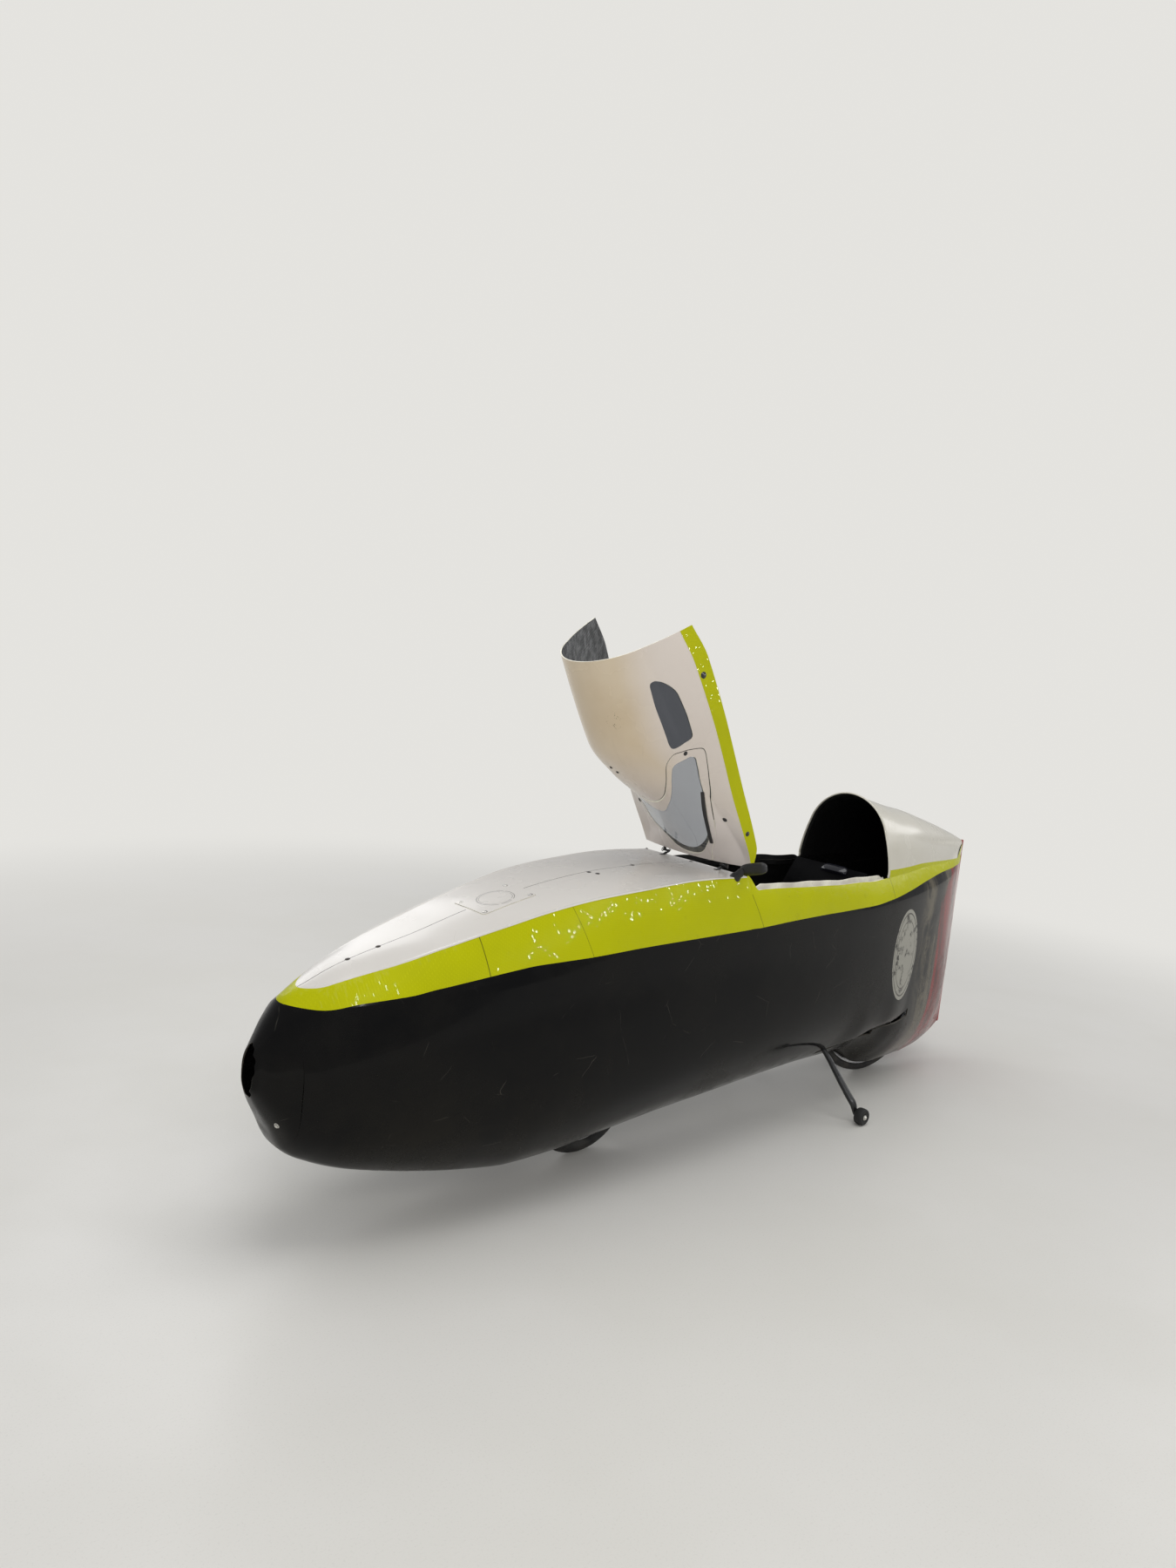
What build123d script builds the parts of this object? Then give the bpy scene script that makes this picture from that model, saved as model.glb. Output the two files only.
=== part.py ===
# Fully faired two-wheel velomobile parked on two fold-out side legs, with its canopy open.
# Millimetres. +X is forward, +Y the vehicle's left, +Z up, with the origin on the ground at mid length.
from build123d import *
import math
import os

os.makedirs("parts", exist_ok=True)

# Shell
WALL = 4.0
NOSE_X = 1320.0
TAIL_X = -1397.0
TAIL_STRIP = 5.0
SIDES = (("left", 1), ("right", -1))

# Outer shape of the hull at stations along X. The crown is the top centre line, the edge is where the deck,
# hood or rim meets the lime band, the band row is where the lime band meets the black hull, side is the widest
# point, foot is where the side turns into the bottom, and keel is the bottom centre line.
HULL_COLUMNS = ("x", "crown_z", "edge_y", "edge_z", "band_y", "band_z", "side_y", "side_z", "foot_y",
                "foot_z", "keel_z")
HULL = (
    (1320, 549, 20, 546, 52, 532, 112, 385, 60, 234, 219),
    (1265, 578, 46, 571, 88, 542, 141, 382, 76, 203, 186),
    (1200, 609, 72, 596, 122, 553, 164, 380, 90, 177, 161),
    (1100, 641, 102, 626, 156, 565, 188, 382, 100, 151, 133),
    (1000, 667, 122, 654, 182, 575, 206, 385, 110, 131, 110),
    (870, 706, 143, 690, 202, 590, 222, 388, 117, 109, 84),
    (740, 739, 160, 724, 217, 604, 235, 392, 120, 93, 68),
    (600, 766, 180, 752, 226, 615, 242, 397, 119, 95, 62),
    (440, 785, 193, 769, 231, 625, 246, 402, 117, 108, 65),
    (250, 792, 196, 782, 234, 631, 248, 408, 117, 124, 87),
    (62, 790, 197, 783, 235, 635, 248, 412, 119, 137, 106),
    (14, 790, 211, 733, 235, 636, 248, 413, 119, 140, 109),
    (-170, 790, 210, 733, 232, 643, 245, 417, 116, 150, 121),
    (-400, 790, 199, 734, 224, 650, 236, 424, 108, 156, 132),
    (-570, 790, 187, 738, 215, 656, 224, 428, 98, 151, 134),
    (-664, 978, 177, 745, 207, 661, 215, 430, 84, 148, 128),
    (-750, 961, 168, 748, 198, 665, 204, 430, 66, 118, 90),
    (-840, 942, 155, 750, 185, 669, 190, 429, 54, 72, 44),
    (-940, 925, 139, 751, 167, 675, 172, 427, 46, 48, 24),
    (-1050, 899, 118, 750, 145, 685, 151, 425, 40, 48, 24),
    (-1170, 869, 91, 748, 113, 700, 120, 423, 34, 58, 33),
    (-1250, 847, 67, 746, 83, 710, 88, 422, 27, 68, 44),
    (-1330, 824, 38, 743, 46, 719, 50, 421, 18, 88, 70),
    (TAIL_X, 802, 9, 740, 10, 724, 11, 420, 9, 114, 108),
)

# Nose ahead of the lime band, as rings from the band's tip to the air intake.
NOSE_COLUMNS = ("x", "top_z", "bottom_z", "half_width", "widest_z")
NOSE = (
    (NOSE_X, 549, 219, 112, 385),
    (1352, 510, 276, 88, 390),
    (1378, 470, 322, 58, 396),
    (1392, 448, 350, 34, 400),
    (1402, 440, 358, 30, 400),
)

# Hood behind the cockpit and canopy, both an arch: base on the rim, straight up to a shoulder, round over the
# crown.
HOOD_COLUMNS = ("x", "shoulder_y", "shoulder_z")
HOOD = (
    (-664, 146, 868),
    (-750, 139, 860),
    (-840, 129, 850),
    (-940, 115, 836),
    (-1050, 94, 818),
    (-1170, 67, 803),
    (-1250, 47, 797),
    (-1330, 26, 793),
    (TAIL_X, 7, 797),
)
CANOPY_COLUMNS = ("x", "base_y", "base_z", "band_y", "band_z", "shoulder_y", "shoulder_z", "crown_z")
CANOPY_FRONT = 50.0
CANOPY_REAR = -656.0
CANOPY_WALL = 3.0
CANOPY = (
    (CANOPY_REAR, 179, 750, 174, 791, 140, 902, 1002),
    (-560, 188, 744, 184, 785, 147, 891, 1004),
    (-400, 199, 740, 195, 781, 157, 867, 1000),
    (-290, 204, 739, 200, 780, 152, 848, 958),
    (-170, 208, 739, 204, 780, 152, 818, 886),
    (-60, 211, 739, 206, 780, 166, 793, 838),
    (0, 212, 741, 206, 782, 176, 782.5, 815),
    (CANOPY_FRONT, 207, 780, 203, 787, 190, 791, 804),
)
HINGE_X = 60.0
HINGE_Z = 800.0
OPEN_DEG = 119.5

# Cut-outs of the canopy, drawn in side view on the closed canopy.
WINDSCREEN = ((-323, 845), (-323, 901), (-299, 904), (-274, 903), (-210, 891), (-139, 871), (-112, 862),
              (-112, 930), (28, 930), (24, 806), (-12, 811), (-129, 822), (-201, 822), (-263, 833))
SCREEN_FRAME = ((-344, 830), (-359, 881), (-352, 908), (-327, 922), (-274, 921), (-182, 901), (-150, 884),
                (-150, 960), (40, 960), (36, 797), (-12, 802), (-129, 812), (-201, 812), (-263, 822))
SIDE_WINDOW = ((-562, 910), (-564, 894), (-555, 879), (-537, 863), (-514, 850), (-445, 842), (-385, 840),
               (-376, 845), (-369, 867), (-368, 898), (-387, 905), (-405, 906), (-497, 912))

# Cockpit coaming
COAM_WALL = 3.0
COAM_SEAT = 0.3
COAM_STEP = 8.0
COAM_RISE = 14.0
COAM_DEPTH = 26.0
COAM_XS = (30.0, 14.0, -170.0, -400.0, -570.0, -658.0)
TAIL_HALF = 9.0

# Deck hatch
HATCH_X = (690.0, 850.0)
HATCH_HALF_W = 62.0
HATCH_ROUND = 12.0
HATCH_CUT = (500.0, 900.0)

# Wheels
FRONT_X = 408.0
FRONT_R = 180.0
FRONT_TYRE = 19.0
REAR_X = -940.0
REAR_R = 336.0
REAR_TYRE = 14.0
RIM_BITE = 5.0
HUB_R = 14.0
AXLE_R = 5.0
BORE_PLAY = 0.05
SLOT_CLEAR = 9.0
RIM_DEPTH = 16.0
HUB_FLANGE = 20.0
SPOKE_R = 1.2
FLANGE_SHARE = 0.55
FRONT_SLOT_W = 104.0
FRONT_HUB_W = 74.0
REAR_HUB_W = 136.0

# Steering
HEAD_ANGLE = 20.0
FORK_RAKE = 25.0
STEERER_R = 12.7
STEERER_TOP = 340.0
CROWN_LOW = 202.0
HEAD_LOW = 232.0
HEAD_MIDDLE = 278.0
HEAD_HIGH = 324.0
HEAD_R = 19.0
BLADE_R = 8.0
BLADE_TOP_Y = 40.0
STEM_R = 11.0
BAR_R = 10.0
BAR_MIDDLE = (70.0, 0.0, 600.0)
BAR_HALF = 125.0
GRIP_L = 125.0
GRIP_R = 15.0
GRIP_CAP = 4.0
GRIP_FRONT = 42.0
BAR_BEND = 35.0

# Frame and seat
SPINE_R = 20.0
SPINE_BEND = 60.0
POST_R = 12.0
BACK_POST_R = 14.0
BACK_POST_TOP = (-478, 0, 556)
FRONT_POST_X = -120.0
FRONT_POST_Z = 262.0
BOSS_PLATE_HALF = 9.0
BOSS_EDGE = 8.0
BOSS_DEPTH = 14.0
SHELL_R = 20.0
SHELL_HALF = 34.0
DROPOUT_R = 17.0
SPINE_PATH = ((130, 0, 350), (30, 0, 190), (-440, 0, 190), (-575, 0, 205))
STAY_Y = 82.0
BOSS_X = 625.0
BOSS_Z = 442.0
BOSS_PITCH = 64.0
BOSS_HOLE_R = 2.5
STAY_R = 8.0
SEAT_PATH = ((75, 312), (-60, 264), (-235, 280), (-385, 405), (-560, 680), (-606, 742))
SEAT_WALL = 8.0
SEAT_BEND = 70.0
SEAT_HALF = 140.0
HEADREST = (-566.0, 0.0, 722.0)
HEADREST_H = 80.0
HEADREST_W = 210.0
HEADREST_T = 34.0

# Drive
CRANK_X = 980.0
CRANK_Z = 400.0
CRANK_ARM = 155.0
RING_R = 88.0
RING_Y = -75.0
SHAFT_X = 110.0
SHAFT_Z = 180.0
SHAFT_R = 24.0
REAR_CHAIN_Y = -58.0
SPROCKET_R = 30.0
CHAIN_H = 7.0
CHAIN_W = 6.0
CHAIN_PLAY = 0.5
SPINDLE_R = 8.0
ARM_Y = (84.0, 96.0)
PEDAL_Y = 146.0
PEDAL_GAP = 4.0
PEDAL_HALF_L = 9.0
PEDAL_HALF_W = 42.0
SPROCKET_T = 3.0
RING_HOLES = 5
RING_HOLE_R = 17.0
RING_HOLE_AT = 56.0
ARM_HALF = 9.0
ARM_END_R = 12.0
ARM_EYE_R = 17.0
SHAFT_Y = (-84.0, -50.0)

# Side legs
LEG_TUBE = 15.0
LEG_TOP = (-474, 92, 236)
LEG_KNEE = (-497, 284, 76)
CASTOR = (-500, 312, 26)
CASTOR_R = 26.0
CASTOR_W = 28.0
CASTOR_PIN = 4.0
LEG_EYE = 8.0
PIVOT_R = 5.0
PIVOT_GAP = 0.4
BRACKET_T = 5.0
BRACKET_REACH = 20.0
BRACKET_R = 11.0
BRACKET_BAR_R = 5.0
STRUT_GAP = 0.3
LEG_FOLD_DEG = 62.0
FOLD_BACK = (-0.983, 0.167, 0.09)
LEG_SLOT_W = 25.0
SLOT_AHEAD_DEG = 14.0
SLOT_BEYOND_DEG = 22.0
SLOT_REACH = 460.0
SLOT_ROOT = (-30.0, 20.0)
ANKLE_GAP = 7.0
LEG_KNEE_R = 9.3
LEG_SHIN_T = 10.5
LEG_EYE_R = 12.0
CASTOR_ROUND = 5.0

# Mirrors and canopy hinges
MIRROR = (92.0, 240.0, 820.0)
MIRROR_SIZE = (18.0, 92.0, 48.0)
MIRROR_FOOT = (102.0, 190.0, 788.0)
MIRROR_ROUND = 0.48
MIRROR_ARM_R = 6.0
MIRROR_ARM_IN = 26.0
MIRROR_BASE_R = 10.0
MIRROR_BASE_H = (12.0, 4.0)
HINGE_Y = 113.0
HINGE_R = 5.0
HINGE_PIN_R = 2.5
HINGE_W = 14.0
HINGE_DROP = 16.0
HINGE_LEAF_T = 4.0
HINGE_LEAF_L = 34.0
STRAP_L = 40.0
STRAP_H = (11.0, 3.0)


def rows(table, columns):
    return [dict(zip(columns, row)) for row in table]


def at(table, columns, x):
    """Value of every column at x, between the stations of a table."""
    points = sorted(rows(table, columns), key=lambda r: r["x"])
    after = next(i for i, row in enumerate(points) if i > 0 and x <= row["x"] + 1e-6)
    a, b = points[after - 1], points[after]
    t = (x - a["x"]) / (b["x"] - a["x"])
    return {name: a[name] + t * (b[name] - a[name]) for name in columns}


def across(x):
    """Sketch plane across the vehicle at x: sketch X is the vehicle's Y, sketch Y its Z."""
    return Plane(origin=(x, 0, 0), x_dir=(0, 1, 0), z_dir=(1, 0, 0))


def along(y):
    """Sketch plane along the vehicle at y: sketch X is the vehicle's X, sketch Y its Z."""
    return Plane(origin=(0, y, 0), x_dir=(1, 0, 0), z_dir=(0, -1, 0))


def bottom_mid(foot_y, foot_z, keel_z):
    """Point halfway along the bottom arc between keel and foot."""
    rise = foot_z - keel_z
    radius = (foot_y**2 + rise**2) / (2 * rise)
    half = 0.5 * math.asin(min(1.0, foot_y / radius))
    return radius * math.sin(half), keel_z + radius * (1 - math.cos(half))


def lower_section(row, sign):
    """Half section of the black hull below the lime band, WALL thick."""
    y1, z1 = row["band_y"], row["band_z"]
    y2, z2 = row["side_y"], row["side_z"]
    y3, z3 = row["foot_y"], row["foot_z"]
    keel = row["keel_z"]
    my, mz = bottom_mid(y3, z3, keel)
    iy, iz = bottom_mid(y3 - WALL, z3 + WALL * 0.6, keel + WALL)
    with BuildSketch(across(row["x"])) as section:
        with BuildLine():
            ThreePointArc((sign * y1, z1), (sign * y2, z2), (sign * y3, z3))
            ThreePointArc((sign * y3, z3), (sign * my, mz), (0, keel))
            Line((0, keel), (0, keel + WALL))
            ThreePointArc((0, keel + WALL), (sign * iy, iz), (sign * (y3 - WALL), z3 + WALL * 0.6))
            ThreePointArc((sign * (y3 - WALL), z3 + WALL * 0.6), (sign * (y2 - WALL), z2),
                          (sign * (y1 - WALL), z1))
            Line((sign * (y1 - WALL), z1), (sign * y1, z1))
        make_face()
    return section.sketch


def band_section(row, sign):
    """Section of the lime band between rim and black hull."""
    y0, z0 = row["edge_y"], row["edge_z"]
    y1, z1 = row["band_y"], row["band_z"]
    bulge = 0.03 * math.hypot(y1 - y0, z1 - z0)
    my, mz = (y0 + y1) / 2 + bulge, (z0 + z1) / 2 + bulge * 0.3
    with BuildSketch(across(row["x"])) as section:
        with BuildLine():
            ThreePointArc((sign * y0, z0), (sign * my, mz), (sign * y1, z1))
            Line((sign * y1, z1), (sign * (y1 - WALL), z1))
            ThreePointArc((sign * (y1 - WALL), z1), (sign * (my - WALL), mz), (sign * (y0 - WALL), z0 - 2))
            Line((sign * (y0 - WALL), z0 - 2), (sign * y0, z0))
        make_face()
    return section.sketch


def arch_section(x, base_y, base_z, low_y, low_z, shoulder_y, shoulder_z, crown_z, wall):
    """Arch from a base point up a straight side to the shoulder and round over the crown."""
    with BuildSketch(across(x)) as section:
        with BuildLine():
            Line((base_y, base_z), (shoulder_y, shoulder_z))
            ThreePointArc((shoulder_y, shoulder_z), (0, crown_z), (-shoulder_y, shoulder_z))
            Line((-shoulder_y, shoulder_z), (-base_y, base_z))
            Line((-base_y, base_z), (-low_y, low_z))
            Line((-low_y, low_z), (-(shoulder_y - wall), shoulder_z - 0.5 * wall))
            ThreePointArc((-(shoulder_y - wall), shoulder_z - 0.5 * wall), (0, crown_z - wall),
                          (shoulder_y - wall, shoulder_z - 0.5 * wall))
            Line((shoulder_y - wall, shoulder_z - 0.5 * wall), (low_y, low_z))
            Line((low_y, low_z), (base_y, base_z))
        make_face()
    return section.sketch


def save(part, name):
    part.label = name
    export_step(part, "parts/" + name + ".step")


def wheel_disc(x, radius, y):
    """Round of a wheel with room about it, in side view at y."""
    with BuildSketch(along(y)) as section:
        with Locations((x, radius)):
            Circle(radius + SLOT_CLEAR)
    return section.sketch


leg_dir = Vector(*[knee - top for knee, top in zip(LEG_KNEE, LEG_TOP)]).normalized()
fold_back = Vector(*FOLD_BACK)
fold_axis = leg_dir.cross(fold_back).normalized()


def mirror_y(vector, sign):
    return Vector(vector.X, sign * vector.Y, vector.Z)


def leg_sweep(sign):
    """Wedge that the side leg sweeps as it folds, on the lower face of its slot."""
    normal = mirror_y(fold_axis, sign)
    top = Vector(LEG_TOP[0], sign * LEG_TOP[1], LEG_TOP[2])
    run = mirror_y(leg_dir, sign)
    plane = Plane(origin=top, x_dir=run, z_dir=normal)
    start = math.radians(-SLOT_AHEAD_DEG) * sign
    end = math.radians(LEG_FOLD_DEG + SLOT_BEYOND_DEG) * sign
    back_x, back_y = SLOT_ROOT
    with BuildSketch(plane.offset(-LEG_SLOT_W / 2)) as section:
        with BuildLine():
            tip_a = (SLOT_REACH * math.cos(start), SLOT_REACH * math.sin(start))
            tip_b = (SLOT_REACH * math.cos(end), SLOT_REACH * math.sin(end))
            Polyline((back_x, -back_y * sign), tip_a, tip_b, (back_x, back_y * sign), close=True)
        make_face()
    return section.sketch


hull_rows = rows(HULL, HULL_COLUMNS)

lime_bands = {}
for side, sign in SIDES:
    # Black lower hull, one half each side of the centre seam
    with BuildPart() as lower_hull:
        loft([lower_section(row, sign) for row in hull_rows], ruled=True)
        extrude(wheel_disc(FRONT_X, FRONT_R, 0), amount=FRONT_SLOT_W / 2, both=True, mode=Mode.SUBTRACT)
        extrude(wheel_disc(REAR_X, REAR_R, 0), amount=REAR_TYRE + SLOT_CLEAR, both=True, mode=Mode.SUBTRACT)
        extrude(leg_sweep(sign), amount=LEG_SLOT_W, mode=Mode.SUBTRACT)
    save(lower_hull.part, "lower_hull_" + side)

    # Lime band along the shoulder
    with BuildPart() as lime_band:
        loft([band_section(row, sign) for row in hull_rows], ruled=True)
    save(lime_band.part, "lime_band_" + side)
    lime_bands[side] = lime_band.part

# Black nose with the air intake left open
with BuildPart() as nose_shell:
    for inset in (0, WALL):
        for row in rows(NOSE, NOSE_COLUMNS):
            half_height = (row["top_z"] - row["bottom_z"]) / 2 - inset
            with BuildSketch(across(row["x"])):
                with Locations((0, (row["top_z"] + row["bottom_z"]) / 2)):
                    Ellipse(row["half_width"] - inset, half_height)
        loft(ruled=True, mode=Mode.ADD if inset == 0 else Mode.SUBTRACT)
save(nose_shell.part, "nose_shell")

# White deck ahead of the cockpit, with the hatch opening
deck_xs = [row["x"] for row in hull_rows if row["x"] >= HINGE_X]
with BuildPart() as deck:
    for x in deck_xs:
        row = at(HULL, HULL_COLUMNS, x)
        y0, z0, crown = row["edge_y"], row["edge_z"], row["crown_z"]
        with BuildSketch(across(x)):
            with BuildLine():
                ThreePointArc((-y0, z0), (0, crown), (y0, z0))
                Line((y0, z0), (y0 - WALL, z0 - 2))
                ThreePointArc((y0 - WALL, z0 - 2), (0, crown - WALL), (WALL - y0, z0 - 2))
                Line((WALL - y0, z0 - 2), (-y0, z0))
            make_face()
    loft(ruled=True)
    deck_whole = deck.part
    with BuildSketch(Plane.XY.offset(HATCH_CUT[0])):
        with Locations((sum(HATCH_X) / 2, 0)):
            RectangleRounded(HATCH_X[1] - HATCH_X[0], 2 * HATCH_HALF_W, HATCH_ROUND)
    extrude(amount=HATCH_CUT[1] - HATCH_CUT[0], mode=Mode.SUBTRACT)
save(deck.part, "deck")

# Deck hatch, a plate of the deck's own shape
with BuildPart() as deck_hatch:
    with BuildSketch(Plane.XY.offset(HATCH_CUT[0])):
        with Locations((sum(HATCH_X) / 2, 0)):
            RectangleRounded(HATCH_X[1] - HATCH_X[0], 2 * HATCH_HALF_W, HATCH_ROUND)
    extrude(amount=HATCH_CUT[1] - HATCH_CUT[0])
    add(deck_whole, mode=Mode.INTERSECT)
save(deck_hatch.part, "deck_hatch")

# White hood behind the cockpit
with BuildPart() as hood:
    arches = []
    for row in rows(HOOD, HOOD_COLUMNS):
        hull = at(HULL, HULL_COLUMNS, row["x"])
        arches.append(arch_section(row["x"], hull["edge_y"], hull["edge_z"], hull["edge_y"] - WALL,
                                   hull["edge_z"] - 2, row["shoulder_y"], row["shoulder_z"],
                                   hull["crown_z"], min(WALL, 0.5 * row["shoulder_y"])))
    loft(arches, ruled=True)
save(hood.part, "hood")


def canopy_arch(row):
    return arch_section(row["x"], row["band_y"], row["band_z"], row["band_y"] - CANOPY_WALL, row["band_z"],
                        row["shoulder_y"], row["shoulder_z"], row["crown_z"], CANOPY_WALL)


def canopy_strip(row, sign):
    with BuildSketch(across(row["x"])) as section:
        with BuildLine():
            Polyline((sign * row["base_y"], row["base_z"]), (sign * row["band_y"], row["band_z"]),
                     (sign * (row["band_y"] - CANOPY_WALL), row["band_z"]),
                     (sign * (row["base_y"] - CANOPY_WALL), row["base_z"]), close=True)
        make_face()
    return section.sketch


def side_outline(points):
    """Outline in side view, to be extruded both ways across the canopy."""
    with BuildSketch(along(0)) as section:
        with BuildLine():
            Polyline(*points, close=True)
        make_face()
    return section.sketch


def opened(part):
    """Turns a piece of the closed canopy to where it stands open."""
    return part.rotate(Axis((HINGE_X, 0, HINGE_Z), (0, 1, 0)), OPEN_DEG)


canopy_rows = rows(CANOPY, CANOPY_COLUMNS)
half_span = max(row["base_y"] for row in canopy_rows) + WALL
with BuildPart() as canopy_closed:
    loft([canopy_arch(row) for row in canopy_rows], ruled=True)

for name, outline in (("windscreen", WINDSCREEN), ("side_windows", SIDE_WINDOW)):
    with BuildPart() as pane:
        extrude(side_outline(outline), amount=half_span, both=True)
        add(canopy_closed.part, mode=Mode.INTERSECT)
    save(opened(pane.part), name)

with BuildPart() as windscreen_frame:
    extrude(side_outline(SCREEN_FRAME), amount=half_span, both=True)
    add(canopy_closed.part, mode=Mode.INTERSECT)
    extrude(side_outline(WINDSCREEN), amount=half_span, both=True, mode=Mode.SUBTRACT)
save(opened(windscreen_frame.part), "windscreen_frame")

with BuildPart() as canopy_shell:
    add(canopy_closed.part)
    extrude(side_outline(SCREEN_FRAME), amount=half_span, both=True, mode=Mode.SUBTRACT)
    extrude(side_outline(SIDE_WINDOW), amount=half_span, both=True, mode=Mode.SUBTRACT)
save(opened(canopy_shell.part), "canopy_shell")

# Lime strip along both lower edges of the canopy
with BuildPart() as canopy_band:
    for side, sign in SIDES:
        loft([canopy_strip(row, sign) for row in canopy_rows], ruled=True)
save(opened(canopy_band.part), "canopy_band")


def bar(start, end, radius):
    """Solid round bar between two points."""
    run = Vector(*end) - Vector(*start)
    from_start = (Align.CENTER, Align.CENTER, Align.MIN)
    return Plane(origin=start, z_dir=run) * Cylinder(radius, run.length, align=from_start, mode=Mode.PRIVATE)


def disc(x, z, radius, y_low, y_high):
    """Solid disc on an axis across the vehicle."""
    return bar((x, y_low, z), (x, y_high, z), radius)


def block(low, high):
    """Solid box between two corners."""
    size = [b - a for a, b in zip(low, high)]
    middle = [(a + b) / 2 for a, b in zip(low, high)]
    return Pos(*middle) * Box(*size, mode=Mode.PRIVATE)


def biggest(part):
    return part.solids().sort_by(SortBy.VOLUME)[-1]


# Coaming round the cockpit: a strip inside each lime band that rises behind the closed canopy's edge
with BuildPart() as coaming:
    for side, sign in SIDES:
        strips = []
        for x in COAM_XS:
            row = at(HULL, HULL_COLUMNS, x)
            rim_y, rim_z = row["edge_y"] - WALL - COAM_SEAT, row["edge_z"]
            flare = (row["band_y"] - row["edge_y"]) / (row["edge_z"] - row["band_z"])
            low_y = rim_y + flare * COAM_DEPTH
            inner = rim_y - COAM_STEP
            with BuildSketch(across(x)) as strip:
                with BuildLine():
                    Polyline((sign * low_y, rim_z - COAM_DEPTH), (sign * rim_y, rim_z - 2),
                             (sign * inner, rim_z - 2), (sign * inner, rim_z + COAM_RISE),
                             (sign * (inner - COAM_WALL), rim_z + COAM_RISE),
                             (sign * (inner - COAM_WALL), rim_z - 2 - COAM_WALL),
                             (sign * (rim_y - COAM_WALL), rim_z - 2 - COAM_WALL),
                             (sign * (low_y - COAM_WALL), rim_z - COAM_DEPTH), close=True)
                make_face()
            strips.append(strip.sketch)
        loft(strips, ruled=True)
save(coaming.part, "cockpit_coaming")

# Red edge strip down the tail
tail = hull_rows[-1]
with BuildPart() as tail_edge:
    with BuildSketch(along(0)):
        with BuildLine():
            Polyline((TAIL_X - TAIL_STRIP, tail["crown_z"]), (TAIL_X, tail["crown_z"]),
                     (TAIL_X, tail["keel_z"]), (TAIL_X - TAIL_STRIP, tail["keel_z"] + WALL), close=True)
        make_face()
    extrude(amount=TAIL_HALF, both=True)
save(tail_edge.part, "tail_edge")


def make_wheel(prefix, x, radius, tyre_r, rim_half, hub_half, spokes, sprocket):
    """Tyre, rim with spokes and hub of one wheel."""
    rim_r = radius - 2 * tyre_r + RIM_BITE
    with BuildPart() as hub:
        add(disc(x, radius, HUB_R, -hub_half, hub_half))
        for flange_y in (-FLANGE_SHARE * hub_half, FLANGE_SHARE * hub_half):
            add(disc(x, radius, HUB_FLANGE, flange_y - 2, flange_y + 2))
        if sprocket:
            add(disc(x, radius, sprocket, REAR_CHAIN_Y - SPROCKET_T / 2, REAR_CHAIN_Y + SPROCKET_T / 2))
        add(disc(x, radius, AXLE_R + BORE_PLAY, -hub_half, hub_half), mode=Mode.SUBTRACT)
    with BuildPart() as rim:
        add(disc(x, radius, rim_r, -rim_half, rim_half))
        add(disc(x, radius, rim_r - RIM_DEPTH, -rim_half, rim_half), mode=Mode.SUBTRACT)
        for i in range(spokes):
            angle = 2 * math.pi * i / spokes
            flange = hub_half * FLANGE_SHARE * (1 if i % 2 else -1)
            reach = HUB_FLANGE - 2
            foot = (x + reach * math.cos(angle), flange, radius + reach * math.sin(angle))
            reach = rim_r - RIM_DEPTH + 2
            tip = (x + reach * math.cos(angle), 0, radius + reach * math.sin(angle))
            add(bar(foot, tip, SPOKE_R))
        add(hub.part, mode=Mode.SUBTRACT)
    with BuildPart() as tyre:
        wheel_plane = Plane(origin=(x, 0, radius), z_dir=(0, 1, 0))
        add(wheel_plane * Torus(radius - tyre_r, tyre_r, mode=Mode.PRIVATE))
        add(rim.part, mode=Mode.SUBTRACT)
    save(tyre.part, prefix + "_tyre")
    save(rim.part, prefix + "_rim")
    save(hub.part, prefix + "_hub")


make_wheel("front", FRONT_X, FRONT_R, FRONT_TYRE, 11.0, FRONT_HUB_W / 2, 16, 0)
make_wheel("rear", REAR_X, REAR_R, REAR_TYRE, 9.0, REAR_HUB_W / 2, 20, SPROCKET_R - CHAIN_H / 2 - CHAIN_PLAY)

# Steering axis: up is along it, and the axle lies ahead of it by the rake
steer_up = Vector(-math.sin(math.radians(HEAD_ANGLE)), 0, math.cos(math.radians(HEAD_ANGLE)))
steer_ahead = Vector(math.cos(math.radians(HEAD_ANGLE)), 0, math.sin(math.radians(HEAD_ANGLE)))
steer_foot = Vector(FRONT_X, 0, FRONT_R) - steer_ahead * FORK_RAKE


def on_steerer(height, y=0.0):
    point = steer_foot + steer_up * height
    return (point.X, y, point.Z)


# Fork with its steerer and the front axle
BLADE_Y = FRONT_HUB_W / 2 + BLADE_R + 1.0
with BuildPart() as fork:
    for side, sign in SIDES:
        add(bar((FRONT_X, sign * BLADE_Y, FRONT_R), on_steerer(CROWN_LOW + 8, sign * BLADE_TOP_Y), BLADE_R))
        add(disc(FRONT_X, FRONT_R, BLADE_R + 3, min(sign * BLADE_Y, sign * (BLADE_Y - 7)),
                 max(sign * BLADE_Y, sign * (BLADE_Y - 7))))
    crown_plane = Plane(origin=on_steerer(CROWN_LOW + 10), x_dir=steer_ahead, z_dir=steer_up)
    add(crown_plane * Box(34, 2 * BLADE_TOP_Y + 18, 20, mode=Mode.PRIVATE))
    add(bar(on_steerer(CROWN_LOW), on_steerer(STEERER_TOP), STEERER_R))
    add(disc(FRONT_X, FRONT_R, AXLE_R, -BLADE_Y - 11, BLADE_Y + 11))
save(fork.part, "fork")

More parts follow.
